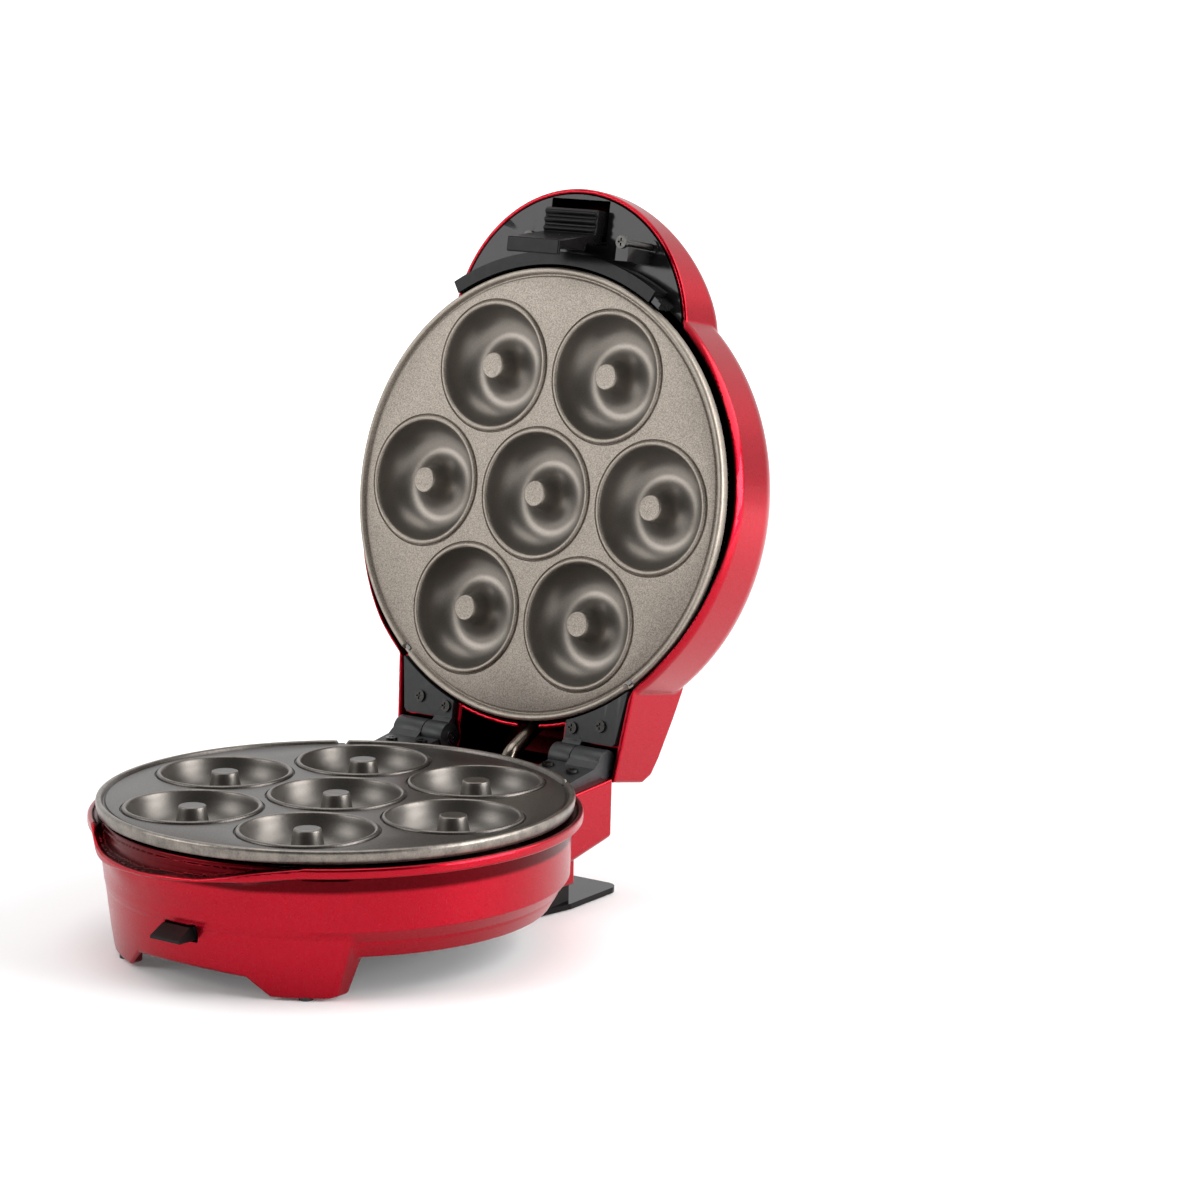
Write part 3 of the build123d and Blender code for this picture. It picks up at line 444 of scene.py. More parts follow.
def nonstick(name, flat, cup, edge_highlight_colour, r_flat, r_cup, metallic=0.85):
    """Coated aluminium: satin on the flat of the casting, smoother inside the cups."""
    m = Mat(name, Metallic=metallic, Specular_IOR_Level=0.5)
    at = m.t.nodes.new("ShaderNodeAttribute")
    at.attribute_name = "cup"
    grain = m.noise(1700.0, 3.0, 0.75)
    a = m.ramp(grain, [(0.38, tuple(c * 0.66 for c in flat)), (0.62, tuple(c * 1.34 for c in flat))])
    b = m.ramp(grain, [(0.34, tuple(c * 0.90 for c in cup)), (0.66, tuple(c * 1.10 for c in cup))])
    mix = m.t.nodes.new("ShaderNodeMix")
    mix.data_type = "RGBA"
    m.link(at.outputs["Fac"], mix.inputs[0])
    m.link(a, mix.inputs[6])
    m.link(b, mix.inputs[7])
    # painted highlight: the beads, the plate's rim and side and the post rims are painted lighter, broken up in
    # patches by noise
    ed = m.t.nodes.new("ShaderNodeAttribute")
    ed.attribute_name = "edge"
    patch = m.node("MapRange")
    patch.inputs["From Min"].default_value = 0.36
    patch.inputs["From Max"].default_value = 0.62
    patch.inputs["To Min"].default_value = 0.35
    m.link(m.noise(160.0, 5.0, 0.7), patch.inputs["Value"])
    k = m.t.nodes.new("ShaderNodeMath")
    k.operation = "MULTIPLY"
    m.link(ed.outputs["Fac"], k.inputs[0])
    m.link(patch.outputs["Result"], k.inputs[1])
    mix2 = m.t.nodes.new("ShaderNodeMix")
    mix2.data_type = "RGBA"
    m.link(k.outputs["Value"], mix2.inputs[0])
    m.link(mix.outputs[2], mix2.inputs[6])
    m.link(m.ramp(grain, [(0.34, tuple(c * 0.85 for c in edge_highlight_colour)), (0.66, tuple(c * 1.15 for c in edge_highlight_colour))]), mix2.inputs[7])
    m.link(mix2.outputs[2], m.p.inputs["Base Color"])
    r = m.node("MapRange")
    r.inputs["To Min"].default_value = r_flat
    r.inputs["To Max"].default_value = r_cup
    m.link(at.outputs["Fac"], r.inputs["Value"])
    m.link(r.outputs["Result"], m.p.inputs["Roughness"])
    m.bump(m.noise(1500.0, 2.0, 0.7), 0.000018, 0.5)
    return m.m


def gloss_black(name, base=(0.007, 0.0068, 0.0068), r=(0.10, 0.16), spec=0.22):
    m = Mat(name, Specular_IOR_Level=spec)
    m.color(m.noise(160.0, 3.0), [(0.3, base), (0.7, tuple(c * 1.5 for c in base))])
    m.rough(m.noise(220.0, 4.0, 0.6), *r)
    m.bump(m.noise(90.0, 2.0), 0.00006, 0.25)
    return m.m


def matt_plastic(name, base, r=(0.42, 0.56), grain=2200.0, depth=0.00004):
    m = Mat(name)
    m.color(m.noise(300.0, 4.0, 0.6), [(0.3, tuple(c * 0.82 for c in base)), (0.7, tuple(c * 1.18 for c in base))])
    m.rough(m.noise(500.0, 3.0), *r)
    m.bump(m.noise(grain, 2.0, 0.6), depth, 0.6)
    return m.m


def metal(name, base, r=(0.22, 0.36), stretch=(1, 1, 1), scale=900.0, depth=0.00001):
    m = Mat(name, Metallic=1.0)
    m.color(m.noise(scale * 0.4, 3.0, 0.6, stretch), [(0.3, tuple(c * 0.85 for c in base)), (0.7, tuple(min(1, c * 1.1) for c in base))])
    m.rough(m.noise(scale, 3.0, 0.6, stretch), *r)
    m.bump(m.noise(scale, 2.0, 0.6, stretch), depth, 0.4)
    return m.m


M = {
    "red_shell": red_lacquer("red_lacquer", (0.285, 0.0016, 0.0085), (0.44, 0.0036, 0.0180)),
    # the two plates share one coating: the lid's copy is painted lighter and the base's darker, lit and shaded
    # copies of it, and each plate's cup tones and painted highlight colour are set to its own light
    "nonstick_base": nonstick("nonstick_coating_base_shaded_copy", (0.092, 0.083, 0.0765), (0.122, 0.112, 0.102), (0.25, 0.223, 0.194), 0.34, 0.40, 0.9),
    "nonstick_lid": nonstick("nonstick_coating_lid_lit_copy", (0.270, 0.237, 0.203), (0.200, 0.180, 0.158), (0.34, 0.300, 0.255), 0.50, 0.375, 0.8),
    "black_gloss": gloss_black("black_gloss_plastic"),
    "latch_black": gloss_black("black_latch_plastic", (0.006, 0.0054, 0.0054), (0.20, 0.28), 0.09),
    "foot_black": gloss_black("black_foot_plastic", (0.004, 0.0034, 0.0034), (0.08, 0.13), 0.12),
    "hinge_plastic": matt_plastic("hinge_plastic", (0.020, 0.021, 0.0225), (0.36, 0.46), 2600.0, 0.00002),
    "cover_plastic": matt_plastic("cover_plastic", (0.030, 0.030, 0.032)),
    "release_plastic": matt_plastic("release_plastic", (0.008, 0.0072, 0.0072), (0.34, 0.44), 2600.0, 0.00002),
    "screw_steel": metal("dark_screw_steel", (0.055, 0.053, 0.050), (0.26, 0.38)),
    "pin_steel": metal("pin_steel", (0.55, 0.55, 0.56), (0.2, 0.3), (40, 1, 1), 300.0),
    "bracket_steel": metal("bracket_steel", (0.17, 0.165, 0.16), (0.34, 0.46)),
    "reflector_aluminium": metal("reflector_aluminium", (0.74, 0.74, 0.75), (0.18, 0.3)),
    "element_steel": metal("element_steel", (0.20, 0.18, 0.17), (0.38, 0.55)),
    "thermostat_body": matt_plastic("thermostat_body", (0.66, 0.60, 0.50)),
    "fuse_sleeve": matt_plastic("fuse_sleeve", (0.80, 0.79, 0.74), (0.6, 0.8), 1500.0, 0.0001),
    "terminal_plastic": matt_plastic("terminal_plastic", (0.72, 0.70, 0.62)),
    "rubber": matt_plastic("foot_rubber", (0.028, 0.028, 0.028), (0.6, 0.8)),
    "gland_rubber": matt_plastic("gland_rubber", (0.022, 0.022, 0.022), (0.5, 0.7)),
    "conduit_sleeve": metal("conduit_sleeve", (0.20, 0.17, 0.14), (0.16, 0.26), (1, 1, 1), 1200.0, 0.00001),
    "spring_steel": metal("spring_steel", (0.24, 0.235, 0.23), (0.30, 0.42)),
}


def lens(name, c):
    m = Mat(name, Roughness=0.08, Transmission_Weight=0.35, IOR=1.49, Coat_Weight=0.5, Coat_Roughness=0.03)
    m.color(m.noise(300.0, 2.0), [(0.3, tuple(x * 0.8 for x in c)), (0.7, c)])
    m.bump(m.noise(700.0, 2.0), 0.00003, 0.3)
    return m.m


M["release_plastic"].node_tree.nodes["Principled BSDF"].inputs["Specular IOR Level"].default_value = 0.15
M["hinge_plastic"].node_tree.nodes["Principled BSDF"].inputs["Specular IOR Level"].default_value = 0.35
M["lens_power"] = lens("lens_red", (0.70, 0.03, 0.02))
M["lens_ready"] = lens("lens_green", (0.05, 0.45, 0.10))
M["lamp_glass"] = lens("lamp_glass", (0.9, 0.86, 0.8))

slot_of = {s["node"]: s["material_slot"] for s in frame["record"]["subparts"]}
for n, o in N.items():
    o.data.materials.clear()
    o.data.materials.append(M[slot_of[n]])

if "plate_guard" in N:
    N["plate_guard"].data.materials[0] = gloss_black("black_guard_plastic", (0.0045, 0.0042, 0.0042), (0.16, 0.22), 0.10)

# ------------------------------------------------------------------ moulded edges
def soften(node, width, segments=3, angle=32):
    """Rounds a moulding's edges, as a moulded or pressed piece has them."""
    o = N[node]
    w = o.modifiers.new("weld", "WELD")
    w.merge_threshold = 0.000002
    b = o.modifiers.new("soft_edge", "BEVEL")
    b.width, b.segments, b.limit_method, b.angle_limit = width, segments, "ANGLE", math.radians(angle)
    b.use_clamp_overlap, b.harden_normals, b.miter_outer = True, True, "MITER_ARC"


SOFT = {"handle_liner": 0.0005, "plate_guard": 0.0005, "rear_foot": 0.0008, "base_release_tab": 0.0006}
for n_, wd_ in SOFT.items():
    if n_ in N:
        soften(n_, wd_)
for n_ in N:
    if "leaf" in n_ or "hinge" in n_ and "pin" not in n_ and "screw" not in n_:
        soften(n_, 0.0006)

# ------------------------------------------------------------------ cooking plates
PITCH, CUP_IN, CUP_OUT, DEPTH = 62.7, 27.0, 29.95, 13.6
CUPS = [(0.0, 0.0)] + [(PITCH * math.cos(math.radians(60 * i)), PITCH * math.sin(math.radians(60 * i))) for i in range(6)]
TOP = -1.0


def cup_top():
    p = [(0.0, 0.0), (3.0, 0.0), (5.0, -0.02)] + arc(5.05, -0.75, 0.75, 86, 10, 6)
    p += [(6.0, -2.2), (6.45, -4.8)]
    p += spline_pts([(6.7, -6.2), (7.4, -8.6), (8.7, -10.7), (10.9, -12.4), (13.3, -13.35), (15.6, -13.6), (18.2, -13.15), (20.9, -11.9),
                     (23.2, -9.9), (25.0, -7.3), (26.15, -4.4), (26.75, -1.9)], 4)
    p += [(26.95, -1.1)] + arc(28.05, -1.05, 1.05, 172, 8, 12)
    return p + [(29.12, -1.35), (29.22, -1.62), (29.42, -1.72), (29.62, -1.60), (29.74, -1.25), (29.95, TOP)]


def cup_under():
    return [(29.8, -3.4), (29.7, -4.6), (29.0, -6.6), (27.6, -10.0), (25.6, -12.9), (23.2, -14.8), (20.4, -15.6), (18, -15.8), (0.0, -15.8)]


def flat_with_holes(z, hole_r, outer_r, nh, no, up):
    pts, edges = [], []

    def ring(cx, cy, r, n):
        o = len(pts)
        for i in range(n):
            a = 2 * math.pi * i / n
            pts.append((cx + r * math.cos(a), cy + r * math.sin(a)))
        edges.extend([(o + i, o + (i + 1) % n) for i in range(n)])
    ring(0, 0, outer_r, no)
    for cx, cy in CUPS:
        ring(cx, cy, hole_r, nh)
    vo, _, fo, *_ = delaunay_2d_cdt([Vector(p) for p in pts], edges, [], 0, 1e-6)
    v = np.array([(p[0], p[1]) for p in vo])
    f = []
    for t in fo:
        c = v[list(t)].mean(0)
        if math.hypot(*c) > outer_r or any(math.hypot(c[0] - cx, c[1] - cy) < hole_r * 0.9995 for cx, cy in CUPS):
            continue
        t = list(t)
        a, b, c_ = v[t[0]], v[t[1]], v[t[2]]
        ccw = (b[0] - a[0]) * (c_[1] - a[1]) - (b[1] - a[1]) * (c_[0] - a[0]) > 0
        f.append(t if ccw == up else t[::-1])
    return np.column_stack([v, np.full(len(v), z)]), f


def plate_mesh():
    nh, no = 96, 480
    parts = [flat_with_holes(TOP, CUP_OUT, 95.4, nh, no, True)]
    for cx, cy in CUPS:
        parts.append(lathe_mesh(cup_top(), nh, cx=cx, cy=cy))
        v, f = lathe_mesh(cup_under(), nh, cx=cx, cy=cy)
        parts.append((v, f))
    rim = [(95.4, TOP), (95.8, -1.15), (96.1, -1.7), (96.45, -1.9), (96.9, -1.85), (97.25, -1.4), (97.55, -0.55), (97.8, -0.2), (98.2, 0.0),
           (98.8, 0.04), (99.3, -0.08), (99.7, -0.4), (99.95, -0.95), (100.0, -1.6), (99.9, -2.8), (99.65, -4.2), (99.45, -5.1), (99.2, -5.42),
           (98.6, -5.5), (97.6, -5.5), (97.3, -5.3), (97.4, -4.4), (97.6, -3.6), (97.2, -3.4), (94.0, -3.4)]
    v, f = lathe_mesh(rim, no)
    # notches for the locating posts in the rim
    ang = np.degrees(np.arctan2(v[:, 1], v[:, 0]))
    r = np.hypot(v[:, 0], v[:, 1])
    for c in (50.8, 129.2):
        m = step01(1.35 - np.abs(ang - c), 0.0, 0.5) * (r > 96.2) * (v[:, 2] > -2.2)
        v[:, 2] = v[:, 2] * (1 - m) + -2.0 * m
    parts.append((v, f))
    v, f = flat_with_holes(-3.4, 29.8, 94.0, nh, no, False)
    parts.append((v, f))
    v, f = join(parts)
    return weld(v, f, 0.02)


def cup_mark(v):
    """1 inside the cups, 0 on the flat and the rims"""
    d = np.min([np.hypot(v[:, 0] - cx, v[:, 1] - cy) for cx, cy in CUPS], axis=0)
    return (1 - step01(d, 26.6, 27.6)) * step01(d, 4.6, 5.6)


def edge_highlight_mark(v):
    """1 on the bead round each cup, on the plate's rim and on its side, half on each post's rim: where the painted
    highlight goes
    """
    d = np.min([np.hypot(v[:, 0] - cx, v[:, 1] - cy) for cx, cy in CUPS], axis=0)
    bead = np.exp(-((d - 27.9) / 0.75) ** 2) * (v[:, 2] > -1.6)
    r = np.hypot(v[:, 0], v[:, 1])
    side = step01(r, 97.2, 98.2) * (v[:, 2] > -5.45)
    post = np.exp(-((d - 5.5) / 0.4) ** 2) * (v[:, 2] > -1.0)
    return np.clip(0.75 * bead + side + 0.5 * post, 0, 1)


pv, pf = plate_mesh()
pm = {"cup": cup_mark(pv), "edge": edge_highlight_mark(pv)}
base_plate = new_object("base_cooking_plate_casting", place(pv, "base"), pf, "base_plate", None, M["nonstick_base"],
                        ["base_cooking_plate"], smooth=38, marks=pm)
lv = pv.copy()
lv[:, :2] *= -1.0
lid_plate = new_object("lid_cooking_plate_casting", place(lv, "lid"), pf, "lid_plate", None, M["nonstick_lid"],
                       ["lid_cooking_plate"], smooth=38, marks=pm)


# ------------------------------------------------------------------ lid shell
LID_R, WALL = 103.9, 2.4


def softramp(x, k):
    return 0.5 * (x + np.sqrt(x * x + k * k))


def lid_dish(u, v, w):
    r = hyp(u, v)
    side = r - (LID_R - 0.4 * np.clip((-2 - w) / 26.0, 0, 1.6))
    top = -w - (41.0 + 2.0 * (1 - np.clip(r / 100.0, 0, 1.1) ** 2))
    return rmax(side, top, 12.5)


def lid_bulge(u, v, w):
    side = hyp(u, v - 71.4) - (64.5 - 0.25 * np.clip((-10 - w) / 18.0, 0, 1.6))
    top = (-w - (41.0 - 0.33 * softramp(v - 84.0, 10.0))) / 1.05
    return rmax(side, top, 7.0)


TAIL = [(-50, 12), (-50, -36.0), (-62, -36.7), (-75.4, -36.8), (-89.7, -33.8), (-108, -28.9), (-115.4, -25.9), (-118.3, -21.6), (-118.3, 12)]
TAILX = [(-66.6, -40), (66.6, -40), (66.6, -60), (65.8, -79), (60.9, -121.5), (-60.9, -121.5), (-65.8, -79), (-66.6, -60)]


def lid_tail(u, v, w):
    return rmax(poly(v, w, TAIL) - 1.5, poly(u, v, TAILX), 1.6)


def lid_field(u, v, w):
    dish, bulge, tail = lid_dish(u, v, w), lid_bulge(u, v, w), lid_tail(u, v, w)
    solid = rmin(rmin(dish, bulge, 1.4), tail, 1.2)
    r = hyp(u, v)
    ramp = -10.0 + 7.0 * np.clip(-v / 65.0, 0, 1)
    cut_d = (w - ramp - 1.67 * np.clip(LID_R - r, -3, 4)) / 1.95
    front = rmin(rmin(rmax(dish, cut_d, 0.9), rmax(bulge, w + 10.0, 0.9), 0.4), rmax(tail, w, 0.9), 0.5)
    shell = rmax(front, -(solid + WALL), 1.0)
    # the tail's front is open for the plate, with a step under each hinge leaf
    well = np.maximum(np.maximum(r - 101.2, -12.0 - w), v + 50.0)
    au = np.abs(u)
    deck = rmax(boxd(au, v, w, 29.0, 64.0, -105.4, -60.0, -5.4, -3.05, 0.3), tail + 0.6, 0.3)
    wall = rmax(boxd(au, v, w, 29.0, 31.4, -119.0, -86.0, -33.6, -3.0, 0.3), tail + 0.6, 0.3)
    shell = rmin(shell, rmin(deck, wall, 0.5), 0.6)
    shell = rmax(shell, -well, 0.3)
    strip = rmax(np.abs(r - 102.2) - 1.0, np.abs(w + 4.2) - 1.25, 0.8)
    strip = np.maximum(np.maximum(strip, au - 30.0), v + 60.0)
    strip = np.maximum(strip, 5.5 - np.abs(u - 9.0))
    shell = np.minimum(shell, strip)
    # room for the hinge knuckles
    kn = np.maximum(hyp(v + HINGE_Y, w - 2.0) - 6.7, np.abs(au - 43.6) - 14.8)
    shell = rmax(shell, -kn, 0.5)
    # lens holes
    holes = np.minimum(hyp(u - 9, v - 56), hyp(u + 9, v - 56)) - 4.2
    holes = np.maximum(holes, np.abs(w + 42) - 12)
    return rmax(shell, -holes, 0.4)


H_SHELL = 0.8
# painted shade mask: 1 on the shell's inside faces
def lid_inner_shade_mask(u, v, w):
    solid = rmin(rmin(lid_dish(u, v, w), lid_bulge(u, v, w), 1.4), lid_tail(u, v, w), 1.2)
    return (1 - step01(solid, -1.9, -0.9)) * (1 - step01(w, -5.2, -4.2)) * step01(np.abs(w + 42) , 0, 0.1)


field_object("lid_shell_moulding", lid_field, (-105.6, -121.8, -45.0), (105.6, 138.0, 3.2), H_SHELL, "lid", "lid", M["red_shell"],
             ["lid_shell"], inner_shade=lid_inner_shade_mask)


# ------------------------------------------------------------------ base shell
RIM, BAND = -6.4, 4.3
_sx = np.array([-120, -59.4, -56.8, -55.1, -52.1, -45.9, -37.2, -27.9, -17.6, -8.0, -3.5, 7.1, 14.6, 21.0, 27.9, 34.6, 41.4, 47.5, 52.0, 56.0, 120])
_sz = np.array([-6.4, -6.4, -9.3, -12.0, -13.8, -15.3, -15.8, -16.0, -15.9, -15.3, -14.8, -14.2, -13.7, -12.6, -11.2, -9.8, -8.4, -7.5, -6.8, -6.4, -6.4])
_gx = np.arange(-110, 110.01, 0.25)
_gz = np.interp(_gx, _sx, _sz)
_k = np.exp(-0.5 * (np.arange(-16, 17) * 0.25 / 1.1) ** 2)
_gz = np.convolve(np.pad(_gz, 16, mode="edge"), _k / _k.sum(), "valid")
_gs = np.gradient(_gz, 0.25)


def base_wall(r, z):
    return poly(r, z, [(-80, 30), (98.9, 30), (98.6, -12.9), (97.9, -33.6), (94.1, -38.7), (93.4, -40.3), (89.8, -46.3), (86.0, -52.6), (-80, -52.6)])


# the front wall between the feet leans in a little more than the rest
_fz = np.arange(-70, 31, 0.25)
_fr = np.interp(_fz, [-70, -62.7, -50.8, -38, -27.6, -20, -14, -10, 31], [92.2, 93.2, 94.8, 96.1, 97.3, 98.6, 99.3, 99.6, 99.6])
_fr = np.convolve(np.pad(_fr, 16, mode="edge"), np.ones(33) / 33, "valid")


def front_r(z):
    return np.interp(z, _fz, _fr)


def base_outer(x, y, r, z):
    lean = np.where(y < -20, step01(np.where(x > 0, 84.0 - x, 96.0 + x), 0.0, np.where(x > 0, 44.0, 22.0)), 0.0)
    cut = np.where(y < -20, r - front_r(z) - 7.0 * (1 - lean), -50.0)
    return rmax(base_wall(r, z), cut, 2.0)


def base_field(x, y, z):
    r = hyp(x, y)
    ax = np.abs(x)
    ft = y < -20
    wall = base_outer(x, y, r, z)
    s = np.where(ft, np.interp(x, _gx, _gz), RIM)
    sl = np.where(ft, np.interp(x, _gx, _gs), 0.0)
    n = np.sqrt(1 + sl * sl)
    top = (z - s) / n
    body = rmax(rmax(wall, -46.2 - z, 0.5), z - RIM, 0.6)
    catch = (1 - step01(np.where(x > 0, x, -x * 0.8), 15.4, 44.0)) * ft
    deep = BAND - 2.2 * catch
    band = rmax(r - 103.4, rmax(top, (s - deep - z) / n, 1.0), 1.1)
    # under the lip the wall flares out to meet it
    m = step01(66.0 - ax, 0.0, 42.0) * ft
    zb = s - deep
    fr = front_r(z)
    t = np.clip((zb - z) / 17.0, 0, 1)
    fb = np.minimum(fr, 98.3) - 0.5
    lip_r = 103.3 - 3.7 * catch
    fl = (r - (fb + m * np.maximum(lip_r - fb, 0.0) * (1 - t) ** 1.7)) / 1.12
    fl = rmax(fl, np.maximum(top, -36.0 - z), 0.5) + 40.0 * (~ft) + 8.0 * (1 - np.clip(m / 0.10, 0, 1))
    solid = rmin(rmin(body, band, 0.45), fl, 1.6 - 0.9 * catch)
    # front panel with the feet
    pan_r = rmax(r - fr, np.maximum(z + 12.0, -62.7 - z), 0.6)
    pan_x = poly(ax, z, [(-5, 20), (67.7, 20), (67.7, -12), (66.7, -33), (59.4, -60.4), (57.4, -61.3), (38.4, -61.3), (29.3, -53.6), (14, -52.6),
                         (0, -52.3), (-5, -52.3)]) - 1.2
    pan = rmax(np.where(ft, pan_r, 50.0), pan_x, 1.5)
    step = 91.9 - 4.6 * step01(ax, 35.4, 37.0)
    pan = rmax(pan, (step - r) / 1.25, 0.7)
    solid = rmin(solid, pan, 1.2)
    # hinge box and the column over the rear foot
    deck = -7.2 + 2.0 * (y - 84.0) / 26.0
    tx = 62.5
    box_p = poly(y, z, [(50, 6), (110.4, 6), (109.2, -33.4), (82.0, -39.0), (50, -45.0)])
    tail = rmax(rmax(box_p, (z - deck) / 1.003, 0.8), ax - tx, 1.3)
    low = -39.0 + (y - 82.0) * 0.206
    cham = ((ax - tx) * 0.6 + (low + 3.4 - z) * 0.8)
    tail = rmax(tail, cham, 0.8)
    col = rmax(poly(y, z, [(50, -30), (99.0, -30), (99.0, -51.8), (50, -51.8)]), ax - 50.5, 1.2)
    solid = rmin(solid, rmin(tail, col, 1.0), 1.0)
    # inside
    well = rmax(r - 101.1, -7.1 - z, 0.3)
    cav = np.maximum(wall + 2.3, z - 20.0)
    tin = np.maximum(np.maximum(poly(y, z, [(40, 6), (107.8, 6), (106.8, -31.4), (82.0, -36.6), (40, -42.0)]), z - deck + 2.4), ax - (tx - 2.4))
    cin = boxd(x, y, z, -48.1, 48.1, 60.0, 96.6, -60.0, -33.5)
    hollow = np.minimum(np.minimum(well, np.maximum(cav, r - 96.2)), np.minimum(tin, cin))
    solid = rmax(solid, -hollow, 0.6)
    # scoop: the trough behind the lip, and the small step of the collar above it
    zt = s - 1.1
    line = -9.3 - np.clip((r - 98.5) / 2.5, 0, 1) * np.maximum(0, -9.3 - zt)
    tr = np.maximum(np.maximum(98.5 - r, r - 101.1), line - z)
    tr = np.where(zt < -9.0, tr, 50.0)
    tr2 = np.where(zt < -9.0, np.maximum(np.maximum(97.9 - r, r - 101.1), -9.3 - z), 50.0)
    cap = np.where(ft & (s < RIM - 0.05), np.maximum(-top, 98.4 - r), 50.0)
    solid = rmax(solid, -rmin(rmin(tr, tr2, 0.4), cap, 0.4), 1.0)
    # knuckle room, release slot, conduit hole, cord hole
    kn = np.maximum(hyp(y - HINGE_Y, z) - 6.7, np.abs(ax - 43.6) - 14.8)
    solid = rmax(solid, -kn, 0.5)
    slot = boxd(x, y, z, -8.5, 8.5, -102.0, -86.0, -42.3, -35.9, 0.6)
    solid = rmax(solid, -slot, 0.4)
    hole = np.maximum(hyp(x - 9.0, y - 103.6) - 4.1, np.abs(z + 7) - 8)
    solid = rmax(solid, -hole, 0.3)
    cord = np.maximum(hyp(x + 30.0, z + 22.0) - 6.15, np.abs(y - 108) - 6)
    return rmax(solid, -cord, 0.3)


# painted shade mask: 1 on the shell's inside faces and in the trough behind the front lip
def base_inner_shade_mask(x, y, z):
    r = hyp(x, y)
    ring = (1 - step01(r, 101.0, 102.4)) * step01(z, -18.5, -16.5) * (1 - step01(z, -5.2, -4.4)) * (1 - step01(y, 60, 70))
    return np.maximum(0.84 * ring, (1 - step01(base_wall(r, z), -4.6, -3.6)) * (1 - step01(z, -12, -11)))


field_object("base_shell_moulding", base_field, (-105.0, -105.2, -64.2), (105.0, 112.0, -2.8), H_SHELL, "base", "base", M["red_shell"],
             ["base_shell"], inner_shade=base_inner_shade_mask)

# ------------------------------------------------------------------ latch
def latch_field(u, v, w):
    pad = boxd(u, v, w, -14.4, 14.4, 115.6, 126.6, -16.0, -3.9, 0.5)
    for k in range(3):
        c = 117.35 + 3.75 * k
        rib = rmax(hyp(v - c, (w + 3.95) * 0.9) - 1.25, np.abs(u) - 14.0, 0.4)
        pad = rmin(pad, rib, 0.35)
    hook = poly(v, w, [(111.5, -9.1), (115.6, -9.1), (115.6, -3.8), (110.9, 18.9), (110.6, 21.2), (104.5, 21.2), (104.5, 20.3), (107.9, 19.7), (108.2, 1.9),
                       (111.5, 1.3)]) - 0.3
    hook = rmax(hook, np.abs(u) - 14.2, 0.5)
    rail = boxd(u, v, w, -19.5, 19.5, 114.0, 126.0, -20.4, -18.3, 0.4)
    neck = boxd(u, v, w, -12.5, 12.5, 116.0, 125.6, -18.6, -15.0, 0.4)
    return rmin(rmin(pad, hook, 0.6), rmin(rail, neck, 0.5), 0.4)


if "lid_latch" in N:
    field_object("lid_latch_moulding", latch_field, (-20.2, 103.6, -21.2), (20.2, 127.4, 22.0), 0.5, "lid", "latch",
                 M["latch_black"], ["lid_latch"])


# ------------------------------------------------------------------ wiring sleeve and release spring
def tube_mesh(path, r, sides, closed_ends=True):
    """Sweep a circle of radius r along a path of 3-D points."""
    path = np.array(path, float)
    d = np.gradient(path, axis=0)
    d /= np.linalg.norm(d, axis=1)[:, None]
    up = np.array([1.0, 0, 0]) if abs(d[0, 0]) < 0.9 else np.array([0, 0, 1.0])
    rings = []
    for k in range(len(path)):
        up = up - d[k] * (up @ d[k])
        up /= np.linalg.norm(up)
        side = np.cross(d[k], up)
        a = np.linspace(0, 2 * math.pi, sides, endpoint=False)
        rad = np.asarray(r(k) if callable(r) else r)
        rings.append(path[k] + rad * (np.cos(a)[:, None] * up + np.sin(a)[:, None] * side))
    v = np.concatenate(rings)
    n = len(path)
    f = []
    for k in range(n - 1):
        for j in range(sides):
            j2 = (j + 1) % sides
            f.append((k * sides + j, k * sides + j2, (k + 1) * sides + j2, (k + 1) * sides + j))
    if closed_ends:
        v = np.concatenate([v, path[:1], path[-1:]])
        for j in range(sides):
            j2 = (j + 1) % sides
            f.append((n * sides, j2, j))
            f.append((n * sides + 1, (n - 1) * sides + j, (n - 1) * sides + j2))
    return v, f


def rounded_path(pts, radii, step):
    """Polyline in (y, z) with its corners rounded, as evenly spaced points."""
    out = [np.array(pts[0], float)]
    for k in range(1, len(pts) - 1):
        p0, p1, p2 = (np.array(q, float) for q in pts[k - 1:k + 2])
        a, b = (p0 - p1) / np.linalg.norm(p0 - p1), (p2 - p1) / np.linalg.norm(p2 - p1)
        half = math.acos(float(np.clip(a @ b, -1, 1))) / 2
        r = radii[k - 1]
        cut = r / math.tan(half)
        mid = (a + b) / np.linalg.norm(a + b)
        c = p1 + mid * (r / math.sin(half))
        s0, s1 = p1 + a * cut - c, p1 + b * cut - c
        sweep = math.atan2(s0[0] * s1[1] - s0[1] * s1[0], s0 @ s1)
        for q in np.linspace(0, sweep, 24):
            out.append(c + np.array([s0[0] * math.cos(q) - s0[1] * math.sin(q), s0[0] * math.sin(q) + s0[1] * math.cos(q)]))
    out.append(np.array(pts[-1], float))
    out = np.array(out)
    at = np.concatenate([[0], np.cumsum(np.linalg.norm(np.diff(out, axis=0), axis=1))])
    t = np.linspace(0, at[-1], int(at[-1] / step) + 1)
    return np.stack([np.interp(t, at, out[:, 0]), np.interp(t, at, out[:, 1])], 1)


if "wiring_conduit" in N:
    run = rounded_path([(103.6, -17.9), (103.6, -2.0), (117.5, 4.6), (134.6, 13.1)], (9.5, 30.0), 0.35)
    run = np.concatenate([np.full((len(run), 1), 9.0), run], 1)
    v_, f_ = tube_mesh(run, 3.47, 32)
    me = bpy.data.meshes.new("wiring_sleeve")
    me.from_pydata([tuple(map(float, q)) for q in place(v_, "base")], [], f_)
    me.validate()
    me.shade_smooth()
    me.materials.append(M["conduit_sleeve"])
    sleeve = bpy.data.objects.new("wiring_sleeve", me)
    bpy.context.scene.collection.objects.link(sleeve)
    sharpen(me, 50)
    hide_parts("wiring_conduit")
    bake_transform(sleeve)

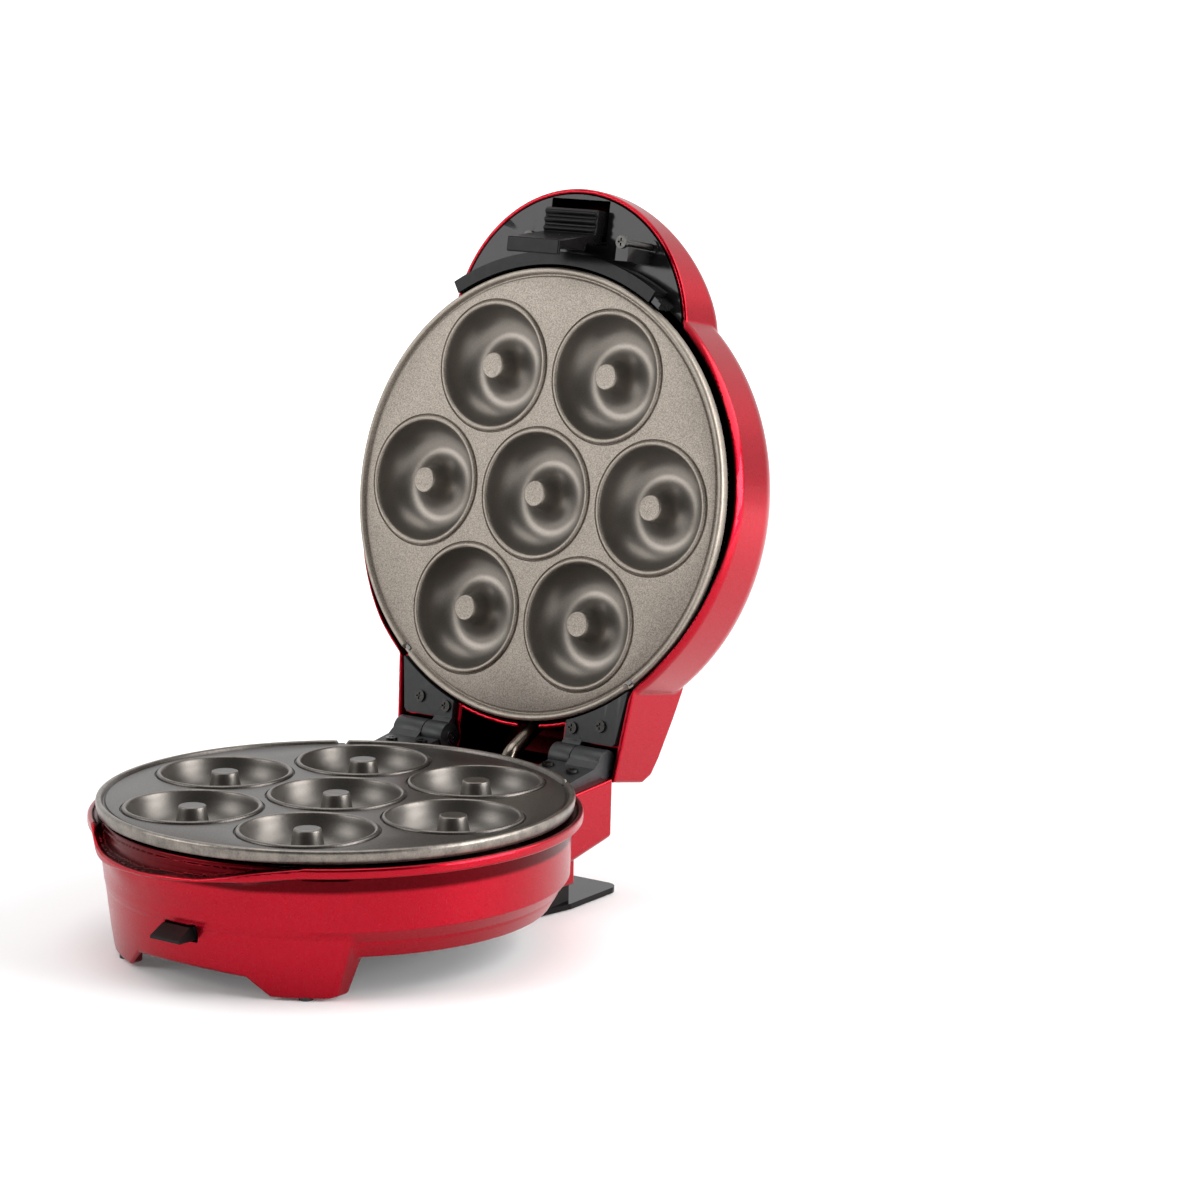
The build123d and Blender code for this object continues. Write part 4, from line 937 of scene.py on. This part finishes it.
if "base_release_spring" in N:
    t_ = np.linspace(0, 1, 150)
    ang = 2 * math.pi * 5.2 * t_
    coil = np.stack([2.24 * np.cos(ang), -89.3 + 6.2 * t_, -38.8 + 2.24 * np.sin(ang)], 1)
    v_, f_ = tube_mesh(coil, 0.33, 8)
    spring = new_object("base_release_coil", place(v_, "base"), f_, "base", None, M["spring_steel"], ["base_release_spring"])
    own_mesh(spring)

# ------------------------------------------------------------------ floor, light, camera
K = 62.7 / 61.5
az, el, roll = math.radians(36.66016), math.radians(10.60612), math.radians(0.51175)
back = Vector((math.sin(az) * math.cos(el), -math.cos(az) * math.cos(el), math.sin(el)))
right0 = Vector((math.cos(az), math.sin(az), 0))
up0 = back.cross(right0)
right = math.cos(roll) * right0 + math.sin(roll) * up0
up = -math.sin(roll) * right0 + math.cos(roll) * up0
loc = Vector((995.12 * K, -1157.18 * K + SHIFT[1], 366.21 * K + SHIFT[2])) * 0.001
cam = bpy.data.cameras.new("camera")
cam.sensor_width = 36.0
cam.lens = 114.436
cam.clip_start, cam.clip_end = 0.01, 100
cam_ob = bpy.data.objects.new("camera", cam)
cam_ob.matrix_world = Matrix(((right.x, up.x, back.x, loc.x), (right.y, up.y, back.y, loc.y), (right.z, up.z, back.z, loc.z), (0, 0, 0, 1)))
bpy.context.scene.collection.objects.link(cam_ob)
bpy.context.scene.camera = cam_ob


def area(name, pos, target, sx, sy, power, color=(1, 1, 1)):
    l = bpy.data.lights.new(name, "AREA")
    l.shape, l.size, l.size_y, l.energy, l.color = "RECTANGLE", sx, sy, power, color
    o = bpy.data.objects.new(name, l)
    o.location = pos
    o.rotation_mode = "QUATERNION"
    o.rotation_quaternion = (Vector(target) - Vector(pos)).to_track_quat("-Z", "Y")
    bpy.context.scene.collection.objects.link(o)
    return o


floor_me = bpy.data.meshes.new("floor")
floor_me.from_pydata([(-30, -30, 0), (30, -30, 0), (30, 30, 0), (-30, 30, 0)], [], [(0, 1, 2, 3)])
floor = bpy.data.objects.new("floor", floor_me)
bpy.context.scene.collection.objects.link(floor)
fm = bpy.data.materials.new("floor")
fm.use_nodes = True
ft_ = fm.node_tree
fp = ft_.nodes["Principled BSDF"]
fp.inputs["Base Color"].default_value = (0.86, 0.86, 0.86, 1)
fp.inputs["Roughness"].default_value = 0.6
fp.inputs["Specular IOR Level"].default_value = 0.1
fc = ft_.nodes.new("ShaderNodeTexCoord")
fd = ft_.nodes.new("ShaderNodeVectorMath")
fd.operation = "LENGTH"
ft_.links.new(fc.outputs["Object"], fd.inputs[0])
fr = ft_.nodes.new("ShaderNodeMapRange")
fr.interpolation_type = "SMOOTHSTEP"
fr.inputs["From Min"].default_value = 0.30
fr.inputs["From Max"].default_value = 1.6
fr.inputs["To Min"].default_value = 0.06
fr.inputs["To Max"].default_value = 0.8
ft_.links.new(fd.outputs["Value"], fr.inputs["Value"])
fp.inputs["Emission Color"].default_value = (1, 1, 1, 1)
ft_.links.new(fr.outputs["Result"], fp.inputs["Emission Strength"])
floor_me.materials.append(fm)

# a white room, dim on the side the camera stands on
world = bpy.data.worlds.new("world")
world.use_nodes = True
bpy.context.scene.world = world
wt = world.node_tree
bg = wt.nodes["Background"]
wc = wt.nodes.new("ShaderNodeTexCoord")
wd = wt.nodes.new("ShaderNodeVectorMath")
wd.operation = "DOT_PRODUCT"
wd.inputs[1].default_value = (0.75, -0.66, -0.03)
wt.links.new(wc.outputs["Generated"], wd.inputs[0])
wr = wt.nodes.new("ShaderNodeMapRange")
wr.interpolation_type = "SMOOTHSTEP"
wr.inputs["From Min"].default_value = -0.55
wr.inputs["From Max"].default_value = 0.50
wr.inputs["To Min"].default_value = 1.04
wr.inputs["To Max"].default_value = 0.08
wt.links.new(wd.outputs["Value"], wr.inputs["Value"])
wt.links.new(wr.outputs["Result"], bg.inputs["Strength"])
bg.inputs["Color"].default_value = (1, 1, 1, 1)
area("left_softbox", (-1.05, -1.40, 0.85), (0, 0, 0.15), 1.0, 0.8, 13)
area("right_panel", (1.24, 0.86, 1.22), (0, 0, 0.14), 1.7, 1.1, 29)
area("right_low", (1.54, 0.50, 0.40), (0, 0, 0.10), 1.1, 0.50, 22)
area("top_softbox", (-0.25, -0.1, 2.3), (0, 0, 0), 1.8, 1.8, 22)
bpy.context.scene.view_settings.view_transform = "Standard"
bpy.context.scene.view_settings.look = "None"
bpy.context.scene.view_settings.exposure = 0.0
